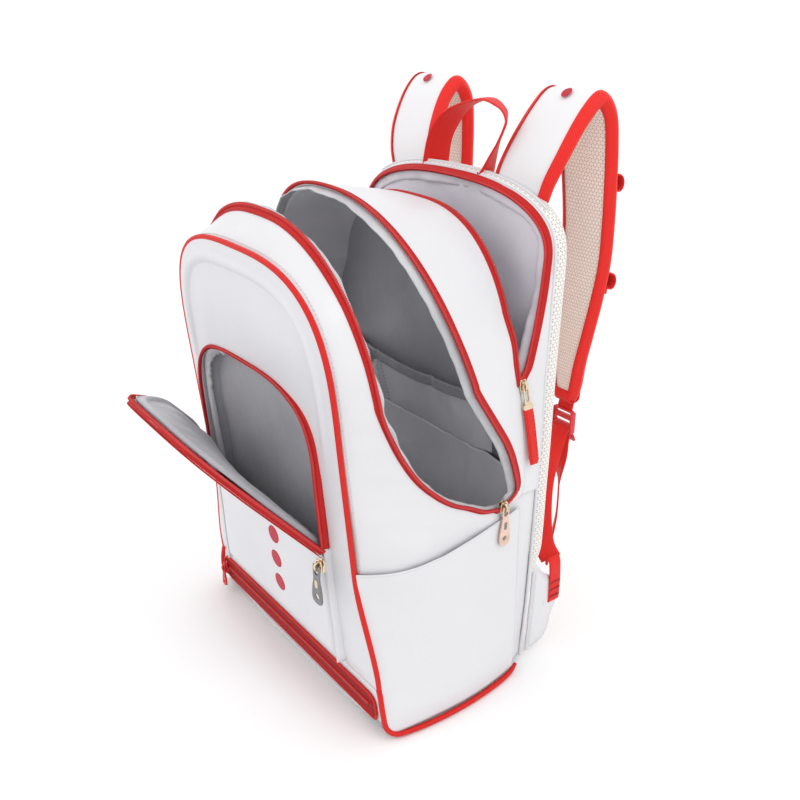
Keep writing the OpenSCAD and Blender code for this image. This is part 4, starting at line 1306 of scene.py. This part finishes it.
def mesh_pad(s, nm):
    """Half of the padded back: crowned, with sewn channels across"""
    R = arch(120, 372, 40, 2.6, 0, 0, 98, 200)
    half = resample(R[:101], 90)
    nc = 37
    G = np.zeros((90, nc, 3))
    for i, (xr, _, z) in enumerate(half):
        x0 = min(10.0, xr * 0.4)
        G[i] = np.stack([np.linspace(xr, x0, nc), np.zeros(nc), np.full(nc, z)], 1)
    inner = np.stack([np.full(50, 10.0), np.zeros(50), np.linspace(98, 410, 50)], 1)
    foot = np.stack([np.linspace(10, 124, 20), np.zeros(20), np.full(20, 98.0)], 1)
    d = np.minimum(np.minimum(edge_dist(G, half), edge_dist(G, inner)), edge_dist(G, foot))
    crown = 8.5 * (1 - np.exp(-d / 7.0))
    for zc in PAD_CHANNELS:
        line = np.abs(G[..., 2] - zc - 0.10 * (G[..., 0] - 60))
        crown = crown - 4.0 * np.exp(-(line / 5.0) ** 2) * smooth01(d / 6)
    G[..., 1] = 95.5 + BACK_SLOPE * G[..., 2] + crown + 0.6 * noise3(G, 40, 82)
    G = G * V(s, 1, 1)
    B = G.copy()
    B[..., 1] = 95.3 + BACK_SLOPE * G[..., 2]
    nu, nv = G.shape[:2]
    verts = np.vstack([G.reshape(-1, 3), B.reshape(-1, 3)])
    F = grid_faces(nu, nv)
    o = nu * nv
    F += [tuple(i + o for i in f[::-1]) for f in F]
    F += rim_faces(nu, nv)
    uv = grid_uv(G)
    ob = put("back_pad_" + nm, verts, F, "airmesh", np.vstack([uv, uv]))
    clean(ob)
    P = np.vstack([half, inner[::-1][1:], foot[1:]]) * V(s, 1, 1)
    P[:, 1] = 96.4 + BACK_SLOPE * P[:, 2]
    ride(tube("back_pad_binding_" + nm, resample(P, 260), 1.7, "airmesh_white", (0, 1, 0), 8), "shell")
    return ob


# ------------------------------------------------------------------ straps
STRAP = [(118.5, 430, 42, 100), (120, 448, 45, 106), (126, 468, 50, 112), (135, 486, 54, 115),
         (146, 502, 57, 117), (158, 513, 58, 118),
         (168, 514, 58, 118), (177, 507, 59, 118), (184, 494, 60, 118), (188, 472, 62, 118),
         (191, 440, 65, 118), (193, 405, 68, 118),
         (194, 370, 69, 117), (193, 335, 70, 113), (192, 300, 70, 107), (192, 270, 71, 101),
         (193, 245, 74, 97), (194, 230, 79, 92)]


def strap_frames(n=150):
    K = np.array([((a + b) / 2, y, z, b - a) for y, z, a, b in STRAP], float)
    S = spline(K, n)
    P, W = S[:, :3], S[:, 3]
    Pf = P.copy()
    Pf[:, 0] = 0
    T = np.gradient(Pf, axis=0)
    T /= np.linalg.norm(T, axis=1, keepdims=True)
    D = np.stack([np.zeros(n), T[:, 2], -T[:, 1]], 1)
    return P, W, T, D


def strap_grid(s, prof, P, W, D):
    """prof: list of (across as a fraction of half width or ('i'/'o', mm from the edge), depth)"""
    cols = []
    for a, dep in prof:
        if isinstance(a, tuple):
            x = (W / 2 - a[1]) * (1 if a[0] == "o" else -1)
        else:
            x = W / 2 * a
        q = P + D * (np.asarray(dep, float).reshape(-1, 1) if np.ndim(dep) else dep)
        q = q.copy()
        q[:, 0] += x
        cols.append(q * V(s, 1, 1))
    return np.stack(cols, 1)


def closed(name, G, mat, cap=True):
    nu, nv = G.shape[:2]
    F = grid_faces(nu, nv, close_v=True)
    if cap:
        F += [tuple(range(nv)), tuple(range((nu - 1) * nv, nu * nv))]
    u = run_of(G[:, 0])
    v = run_of(G[nu // 2])
    ob = put(name, G.reshape(-1, 3), F, mat, np.stack([np.repeat(u, nv), np.tile(v, nu)], 1))
    fixn(ob)
    return ob


def build_strap(s, nm):
    P, W, T, D = strap_frames()
    W = W + 5.0
    n = len(P)
    body = "strap_right" if s > 0 else "strap_left"
    ease_ = smooth01(np.linspace(0, 1, n) / 0.06) * smooth01((1 - np.linspace(0, 1, n)) / 0.06)
    wob = 0.5 * np.array([noise3(V(0, p[1], p[2])[None], 45, 91)[0] for p in P])
    c = 1.9 * ease_ + wob
    top = lambda a: -c * (1 - abs(a) ** 2.6) + 3.4 * abs(a) ** 9
    low = lambda a: 10.9 + 1.5 * (1 - a * a) * ease_ - 4.6 * abs(a) ** 8
    frac = lambda e: 1 - e / (W / 2)
    prof = ([(("i", 2.0), 3.9)] + [(a, top(a)) for a in np.linspace(-0.9, 0.9, 15)]
            + [(("o", 2.0), 3.9), (("o", 2.2), 5.8)])
    prof += [(a, 8.0) for a in np.linspace(0.8, -0.8, 5)] + [(("i", 2.2), 5.8)]
    face = closed("strap_face_" + nm, strap_grid(s, prof, P, W, D), "white_strap")
    ride(face, body, "strap_" + nm)
    prof = [(("i", 2.4), 6.0)] + [(a, low(a)) for a in np.linspace(-0.88, 0.88, 15)] + [(("o", 2.4), 6.0)]
    mesh = closed("strap_mesh_" + nm + "_pad", strap_grid(s, prof, P, W, D), "airmesh")
    ride(mesh, body, "strap_mesh_" + nm)
    for k, e in ((0, "i"), (1, "o")):
        pr = [((e, d), top(frac(d)) - 0.75) for d in (6.6, 5.6, 4.6, 3.4, 2.2)]
        pr += [((e, 0.6), 3.0), ((e, 0.0), 3.7), ((e, -0.3), 4.7), ((e, 0.0), 5.8), ((e, 0.7), 6.6)]
        pr += [((e, d), low(frac(d)) + 0.75) for d in (2.4, 3.6, 4.8, 6.0)]
        B = strap_grid(s, pr, P, W, D)
        b = shell("strap_binding_%s_%d" % (nm, k), B, "binding", 0.8, flip=(k == 0) == (s > 0))
        ride(b, body)
        if k == 0:
            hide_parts("strap_binding_" + nm)
        St = strap_grid(s, [((e, 5.7), top(frac(5.7)) - 0.95)], P, W, D)[:, 0]
        ride(blocks("strap_stitch_%s_%d" % (nm, k), St[4:-3], (s, 0, 0), (2.3, 0.5, 0.4), 3.4,
                    "thread_red"), body)
        St = strap_grid(s, [((e, 5.2), low(frac(5.2)) + 0.95)], P, W, D)[:, 0]
        ride(blocks("strap_stitch_in_%s_%d" % (nm, k), St[4:-3], (s, 0, 0), (2.3, 0.5, 0.4), 3.4,
                    "thread_red"), body)
    # bound end
    q, w = P[-1], W[-1]
    xx = np.linspace(-w / 2 - 0.4, w / 2 + 0.4, 13)
    rows = []
    for y, z in ((1.4, 12), (1.2, 4), (0.6, 0.2), (-1.5, -1.6), (-6, -1.9), (-10, -1.4), (-12.3, 0.6),
                 (-12.8, 4), (-12.9, 11)):
        rows.append(np.stack([q[0] + xx, np.full(13, q[1] + y), np.full(13, q[2] + z)], 1) * V(s, 1, 1))
    ride(shell("strap_end_binding_" + nm, np.stack(rows, 0), "binding", 0.9, flip=s < 0), body)
    # tongue of webbing from the strap end into the ladder lock
    K = spline([(85.5, 190, 236), (85.5, 188.4, 227), (85.5, 187.2, 222), (85.5, 186.2, 217)], 24)
    K = K * V(s, 1, 1)
    ride(ribbon("strap_tongue_" + nm, K, (1, 0, 0), 19, 1.7, "webbing"), body)
    # sewn webbing loops
    for i, (y, z, tl) in enumerate(((191.9, 432, 3.3), (193.8, 345, -1.6))):
        a = math.radians(tl)
        K = [(0.9, -4), (1.1, 0.5), (3.5, 0.4), (8, -0.4), (11.3, 2), (12.3, 6.5), (10.8, 11), (7, 13.6),
             (3, 14.6), (1.2, 16.5), (0.9, 22)]
        Q = np.array([(101, y + u * math.cos(a) - v * math.sin(a), z + u * math.sin(a) + v * math.cos(a))
                      for u, v in K])
        Q = spline(Q, 70) * V(s, 1, 1)
        r = ribbon("strap_loop_%s_%d" % (nm, i), Q, (s, 0, 0), 30, 1.7, "webbing")
        ride(r, body)
        if i == 0:
            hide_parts("strap_loops_" + nm)
        for zz in (z - 2.6, z + 20.5):
            yy = np.interp(zz, [230, 300, 345, 370, 405, 440, 472], [194, 192, 193.3, 194, 193, 191, 188])
            B = np.stack([np.linspace(88, 114, 20), np.full(20, yy + 2.4), np.full(20, zz)], 1) * V(s, 1, 1)
            ride(blocks("strap_loop_tack_%s_%d_%d" % (nm, i, int(zz)), B, (0, 0, 1), (1.2, 3.0, 0.7), 1.5,
                        "thread_red"), body)
    # one plain round dot near the crest
    across, along = disc_grid()
    run = run_of(P)
    at = run[34] + 4.5 * along
    out = D * (1.9 + np.array(c))[:, None]
    Q = np.stack([np.interp(at, run, (P - out)[:, k]) for k in range(3)], 2)
    Q[..., 0] += 2.0 - 4.5 * across
    ride(shell("strap_dot_" + nm, Q * V(s, 1, 1), "print", 0.3, flip=s < 0), body)


def rounded(x0, x1, y0, y1, r, k=6):
    out = []
    for cx, cy, a0 in ((x1 - r, y1 - r, 0), (x0 + r, y1 - r, 90), (x0 + r, y0 + r, 180),
                       (x1 - r, y0 + r, 270)):
        for a in np.linspace(a0, a0 + 90, k):
            out.append((cx + r * math.cos(math.radians(a)), cy + r * math.sin(math.radians(a))))
    return out


def oval(cx, cy, rx, ry, k=28):
    return [(cx + rx * math.cos(t), cy + ry * math.sin(t))
            for t in np.linspace(0, 2 * math.pi, k, endpoint=False)]


def plate(name, loops, t, bev, mat, fr, z=0.0, bend=None):
    """Flat shape with holes, bevelled, put in a frame (origin, ex, ey, ez)"""
    cu = bpy.data.curves.new(name + "_outline", "CURVE")
    cu.dimensions = "2D"
    cu.fill_mode = "BOTH"
    cu.extrude = (t / 2 - bev) * 0.001
    cu.bevel_depth = bev * 0.001
    cu.bevel_resolution = 2
    cu.offset = -bev * 0.001
    for lp in loops:
        sp = cu.splines.new("POLY")
        sp.points.add(len(lp) - 1)
        for p, q in zip(sp.points, lp):
            p.co = (q[0] * 0.001, q[1] * 0.001, 0, 1)
        sp.use_cyclic_u = True
    tmp = bpy.data.objects.new(name + "_outline", cu)
    bpy.context.collection.objects.link(tmp)
    dg = bpy.context.evaluated_depsgraph_get()
    me = bpy.data.meshes.new_from_object(tmp.evaluated_get(dg))
    bpy.data.objects.remove(tmp)
    bpy.data.curves.remove(cu)
    O, ex, ey, ez = (np.asarray(q, float) for q in fr)
    for v in me.vertices:
        x, y, zz = v.co.x * 1000, v.co.y * 1000, v.co.z * 1000 + z
        if bend:
            zz += bend(x, y)
        v.co = (O + ex * x + ey * y + ez * zz) * 0.001
    me.name = name
    me.materials.clear()
    me.materials.append(M[mat])
    ob = bpy.data.objects.new(name, me)
    bpy.context.collection.objects.link(ob)
    clean(ob)
    for p in ob.data.polygons:
        p.use_smooth = False
    return ob


def slider_fr(kind, s=1):
    S = lambda *v: V(*v) * V(s, 1, 1)
    if kind == "main":
        return S(146.4, 46, 190), S(0, 1, 0), S(0, 0, 1), S(1, 0, 0)
    if kind == "rear":
        c, n = math.cos(math.radians(14)), math.sin(math.radians(14))
        return S(127.4, 80, 286), S(0, 1, 0), S(-n, 0, c), S(c, 0, n)
    if kind == "pocket":
        return V(100.9, -105.6, 169), V(1, 0, 0), V(0, 0, 1), V(0, -1, 0)
    return V(-130, -80.7, 30), V(1, 0, 0), V(0, 0, 1), V(0, -1, 0)


def build_slider(name, fr, mat, body, node):
    shape = [(-4.2, -5.3), (-2.4, -5.6), (2.4, -5.6), (4.2, -5.3), (4.25, -1), (4.1, 3.2), (3.0, 5.4),
             (1.2, 5.6), (0, 4.4), (-1.2, 5.6), (-3.0, 5.4),
             (-4.1, 3.2), (-4.25, -1)]
    a = plate(name + "_back", [shape], 1.5, 0.35, mat, fr, 0.75)
    b = plate(name + "_front", [[(x * 0.97, y * 0.97) for x, y in shape]], 1.5, 0.45, mat, fr, 3.7)
    c = plate(name + "_post", [rounded(-0.85, 0.85, -2.6, 4.4, 0.5)], 2.6, 0.2, mat, fr, 2.2)
    O, ex, ey, ez = fr
    fl = [plate(name + "_cheek%d" % k, [rounded(k * 3.95 - 0.35, k * 3.95 + 0.35, -4.8, 1.5, 0.3)], 1.7,
                0.15, mat, fr, 1.6) for k in (-1, 1)]
    K = [O + ey * y + ez * z
         for y, z in ((-4.0, 4.0), (-3.9, 5.4), (-2.9, 7.0), (-1.0, 7.9), (1.2, 7.7), (3.0, 6.6),
                      (3.9, 5.2), (4.0, 4.0))]
    cr = ribbon(name + "_crown", spline(K, 40), ex, 2.3, 1.1, mat, 0.2)
    for o in [a, b, c, cr] + fl:
        ride(o, body)
    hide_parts(node)


def build_pull(name, fr, mat, body, nodes, l, w, kind="ring"):
    O, ex, ey, ez = fr
    z = 6.05
    pin = tube(name + "_pin", [O + ex * x + ez * z for x in (-w * 0.28, -w * 0.1, w * 0.1, w * 0.28)], 0.75,
               mat, ey, 10)
    obs = [pin]
    if kind == "ring":
        out = [(-w * 0.30, 1.2), (w * 0.30, 1.2), (w * 0.33, -l * 0.12), (w * 0.31, -l * 0.34),
               (w * 0.42, -l * 0.52), (w * 0.5, -l * 0.72), (w * 0.5, -l * 0.88),
               (w * 0.36, -l * 0.97), (0, -l), (-w * 0.36, -l * 0.97), (-w * 0.5, -l * 0.88),
               (-w * 0.5, -l * 0.72), (-w * 0.42, -l * 0.52), (-w * 0.31, -l * 0.34),
               (-w * 0.33, -l * 0.12)]
        out = [tuple(p) for p in spline(np.array([(a, b, 0) for a, b in out + out[:1]]), 70)[:-1, :2]]
        win = rounded(-w * 0.19, w * 0.19, -l * 0.20, -0.9 + 1.2, w * 0.12)
        hole = oval(0, -l * 0.80, w * 0.24, w * 0.22)
        slot = rounded(-w * 0.15, w * 0.15, -l * 0.56, -l * 0.36, w * 0.12)
        obs.append(plate(name + "_plate", [out, win, hole], 1.9, 0.5, mat, fr, z))
        obs.append(plate(name + "_inlay", [slot], 2.3, 0.25, "gunmetal" if mat != "gunmetal" else "gold",
                         fr, z))
        ring = oval(0, -l * 0.80, w * 0.27, w * 0.25, 24)
        ring = [O + ex * x + ey * y + ez * (z + 0.1) for x, y in ring + ring[:1]]
        obs.append(tube(name + "_eyelet", ring, 0.55, mat, ez, 8, 1.15))
    else:
        out = rounded(-w * 0.34, w * 0.34, -17.5, 1.2, w * 0.2)
        win = rounded(-w * 0.19, w * 0.19, -13.6, 0.2, w * 0.14)
        obs.append(plate(name + "_link", [out, win], 1.8, 0.45, mat, fr, z))
        bar = rounded(-w * 0.62, w * 0.62, -20.8, -16.4, 1.6)
        obs.append(plate(name + "_clip", [bar], 3.4, 0.7, mat, fr, z))
    for o in obs:
        ride(o, body)
    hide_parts(nodes[0])
    if kind == "tape":
        a = [(O + ey * y + ez * (z + zz))
             for y, zz in ((-18, 0), (-24, 0.2), (-34, 0.6), (-48, 0.3), (-60, 0.0), (-69, -0.5))]
        t = ribbon(name + "_tape", spline(a, 50), ex,
                   np.interp(np.linspace(0, 1, 50), [0, 0.08, 0.9, 1], [9.5, 10.6, 10.4, 8.6]), 2.0,
                   "webbing", 0.15)
        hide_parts(nodes[1])
        ride(t, body)
        for k, tag in ((1, ""), (-1, "2")):
            row = [O + ey * y + ex * x * k + ez * (z + 1.75) for y, x in ((-24, 3.6), (-40, 3.8), (-65, 3.6))]
            ride(blocks(name + "_tape_stitch" + tag, row, ex, (2, 0.45, 0.4), 3.0, "thread_red"), body)


def build_hardware():
    for s, nm, side in ((1, "r", "right"), (-1, "l", "left")):
        fr = slider_fr("main", s)
        build_slider("main_slider_" + side, fr, "gold", "main_slider_" + side, "main_slider_" + nm)
        build_pull("main_pull_" + side + "_v", fr, "rose", "main_pull_" + side, ["main_pull_" + nm], 37, 11.5)
    fr = slider_fr("rear")
    build_slider("rear_slider_v", fr, "gold", "rear_slider", "rear_slider_r")
    build_pull("rear_pull_v", fr, "gold", "rear_pull", ["rear_pull_r", "rear_pull_tape_r"], 66, 9, "tape")
    fr = slider_fr("pocket")
    build_slider("pocket_slider_v", fr, "gold", "front_pocket_slider", "pocket_slider")
    build_pull("pocket_pull_v", fr, "gunmetal", "front_pocket_pull", ["pocket_pull"], 36, 14)
    fr = slider_fr("base")
    build_slider("base_slider_v", fr, "plastic", "base_slider", "shoe_slider")
    build_pull("base_pull_v", fr, "plastic", "base_pull", ["shoe_pull"], 22, 8)


def build_lower_straps():
    path = [(137, 125.5, 98), (124, 128, 108), (112, 135, 131), (102, 145.5, 158), (95.5, 159, 180),
            (88.5, 175, 194), (85.5, 184.6, 203)]
    tail = [(85.5, 186, 193), (87, 183, 178), (97, 173.5, 150), (104, 166, 118), (103, 162, 88),
            (99, 163, 62)]
    for s, nm, side in ((1, "r", "right"), (-1, "l", "left")):
        S = V(s, 1, 1)
        P = spline(path, 60)
        D = np.gradient(P, axis=0)
        kk = smooth01((np.linspace(0, 1, 60) - 0.72) / 0.26)[:, None]
        side_v = (V(0.62, 0.78, 0.1) * (1 - kk) + V(1, 0, 0) * kk) * S
        w = ribbon("lower_webbing_" + nm, P * S, side_v, 20, 1.6, "webbing", 0.1)
        blend(w, "web_" + nm)
        if s == 1:
            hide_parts("lower_webbings")
        T = spline(tail, 70)
        tw = np.radians(48) * smooth01((np.linspace(0, 1, 70) - 0.1) / 0.3)
        tsd = np.stack([np.cos(tw), -np.sin(tw), 0 * tw], 1) * S
        ride(ribbon("tail_webbing_" + nm, T * S, tsd, 20, 1.6, "webbing", 0.1), "tail_" + side, "tail_" + nm)
        e = T[-1]
        ride(ribbon("tail_hem_" + nm, T[-9:] * S, tsd[-1], 20.8, 3.0, "webbing"), "tail_" + side)
        ride(blocks("tail_tack_" + nm,
                    [e * S - tsd[-1] * 8 + V(0, 0, 10), e * S + tsd[-1] * 8 + V(0, 0, 10)], (0, 0, 1),
                    (1.3, 3.2, 3.2), 1.6, "thread_red"), "tail_" + side)
        # ladder lock
        fr = (V(85.5, 186, 214) * S, V(s, 0, 0), V(0, 0, 1), V(0, 1, 0))
        out = rounded(-13, 13, -20, 6, 3.0)
        holes = [rounded(-10, 10, -16, -12, 1.2), rounded(-10, 10, -8.2, -4.4, 1.2),
                 rounded(-10, 10, 0.6, 3.6, 1.2)]
        lk = plate("ladder_lock_" + nm, [out] + holes, 4.4, 0.9, "plastic", fr, -0.3)
        lip = plate("ladder_lock_lip_" + nm, [rounded(-13, 13, -28, -18.5, 3.0)], 2.6, 0.8, "plastic", fr,
                    1.6, bend=lambda x, y: 0.035 * max(0, -y - 17) ** 2)
        rib = [plate("ladder_lock_rib_%s_%d" % (nm, k),
                     [rounded(k * 11.6 - 1.1, k * 11.6 + 1.1, -18, 4, 1.0)], 6.6, 0.6, "plastic", fr, -0.2)
               for k in (-1, 1)]
        for o in [lk, lip] + rib:
            ride(o, "ladder_lock_" + side)
        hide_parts("lock_" + nm)
        # corner wing and its tab
        out = np.array([(93, 8), (95, 60), (97.5, 104), (110, 92), (124, 80), (132, 62), (124, 38),
                        (116, 14)], float)
        c = out.mean(0)
        rings = []
        dense = spline(np.vstack([[(0, *q) for q in out], [(0, *out[0])]]), 80)[:-1, 1:]
        for k, x in ((0.02, 2.6), (0.5, 2.5), (0.85, 2.1), (0.97, 1.2), (1.0, 0.0), (0.97, -1.2),
                     (0.85, -1.9), (0.5, -2.1), (0.02, -2.2)):
            q = c + (dense - c) * k
            rings.append(np.stack([141.9 + x + 0 * q[:, 0], q[:, 0], q[:, 1]], 1))
        G = np.stack(rings, 1)
        G[..., 0] += 0.5 * noise3(G, 20, 95)
        wg = put("corner_wing_" + nm, (G * S).reshape(-1, 3),
                 grid_faces(len(dense), len(rings), close_u=True), "white", grid_uv(G))
        clean(wg)
        ride(wg, "shell")
        seam_stitches("corner_wing_stitch_" + nm,
                      np.stack([np.full(len(dense), 144.6), *(c + (dense - c) * 0.87).T], 1) * S,
                      V(s, 0, 0), "shell", size=(2.2, 0.45, 0.45))
        tb = ribbon("corner_tab_" + nm,
                    spline([(144.9, 124, 56), (145.3, 124, 66), (145.4, 123.6, 80), (145.0, 123.2, 92),
                            (143.6, 123.6, 99), (140.5, 124.4, 102), (138.4, 125, 101)], 50) * S,
                    V(0, 1, 0), 14.5, 1.7, "webbing", 0.1)
        ride(tb, "shell")
        if s == 1:
            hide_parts("corner_wings")
            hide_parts("corner_tabs")
        for zz in (62, 70, 78):
            ride(blocks("corner_tack_%s_%d" % (nm, zz),
                        np.array([(146.5, 118.5, zz), (146.5, 129.5, zz)]) * S, (0, 0, 1), (1.2, 2.6, 0.8),
                        1.5, "thread_red"), "shell")


def build_haul():
    K = spline([(-39, 121, 440), (-33, 121, 466), (-21, 122, 484), (-4, 124, 497), (22, 126, 504.5),
                (42, 125, 499), (49.5, 124, 490), (47.5, 123, 481),
                (39.5, 122, 464), (30, 121, 441)], 200)
    P = resample(K, 120)
    t = np.linspace(0, 1, 120)
    # the webbing faces the front at its feet and twists on the way over
    turn = np.radians(np.interp(t, [0, 0.25, 0.45, 0.62, 0.72, 0.82, 1], [34, 30, 2, -30, -46, -40, -6]))
    side = np.stack([np.sin(turn), np.cos(turn), 0 * t], 1)
    w = np.interp(t, [0, 0.3, 0.5, 0.7, 1], [24.5, 22, 17, 16, 22])
    ride(ribbon("haul_webbing", P, side, w, 1.9, "webbing", 0.2), "haul", "haul_loop")
    for k, q, d in ((0, V(-38.6, 119.4, 443), side[0]), (1, V(30.6, 119.4, 444), side[-1])):
        ride(blocks("haul_tack_%d" % k, [q - d * 9, q + d * 9], (0, 0, 1), (1.3, 4.0, 0.8), 1.6,
                    "thread_red"), "haul")
    # sewn cover strip along the top of the back where the loop and the straps are caught in
    x = np.linspace(112, -112, 71)
    top = 390 + 55 * np.clip(1 - (np.abs(x) / 131.0) ** 2.43, 0, 1) ** (1 / 2.43)
    rows = []
    for y, dz in ((117.4, -26), (119.2, -24.5), (120.6, -18), (121.0, -10), (120.2, -3), (117.5, 1.6),
                  (114.0, 2.4)):
        rows.append(np.stack([x, np.full(71, y) - 0.1 * (445 - top) * 0.5, top + dz], 1))
    G = np.stack(rows, 0)
    ob = shell("top_cover_strip", G, "white", 1.6, flip=False)
    fixn(ob)
    ride(ob, "shell")


# ------------------------------------------------------------------ floor and assembly
def floor_plane():
    me = bpy.data.meshes.new("floor")
    me.from_pydata([(-40, -40, 0), (40, -40, 0), (40, 40, 0), (-40, 40, 0)], [], [(0, 1, 2, 3)])
    ob = bpy.data.objects.new("floor", me)
    bpy.context.collection.objects.link(ob)
    m = Mat("floor_paper", 0.9)
    m.color(m.ramp(m.noise(m.coord(), 3, 2), [(0.3, (0.90, 0.90, 0.90)), (0.7, (0.93, 0.93, 0.93))]))
    me.materials.append(m.m)
    w = bpy.data.worlds.new("world")
    w.use_nodes = True
    w.node_tree.nodes["Background"].inputs[0].default_value = (1, 1, 1, 1)
    w.node_tree.nodes["Background"].inputs[1].default_value = 1.13
    bpy.context.scene.world = w
    bpy.context.scene.view_settings.view_transform = "Standard"
    bpy.context.scene.view_settings.look = "None"


add_camera()
floor_plane()
area("key", (-0.5, -1.3, 1.5), (0, 0, 0.25), 0.7, 2.6)
area("left", (-1.5, 0.4, 1.0), (0, 0, 0.25), 0.8, 1.0)
area("right", (1.2, 0.1, 1.6), (0, 0, 0.25), 0.8, 5.0)
build_front_panel()
build_piping()
build_sides()
build_gusset()
build_middle()
build_rear()
build_pocket()
build_flap()
build_lower_front()
build_base()
build_sleeve()
build_back()
for s_, n_ in ((1, "r"), (-1, "l")):
    build_strap(s_, n_)
build_hardware()
build_lower_straps()
build_haul()
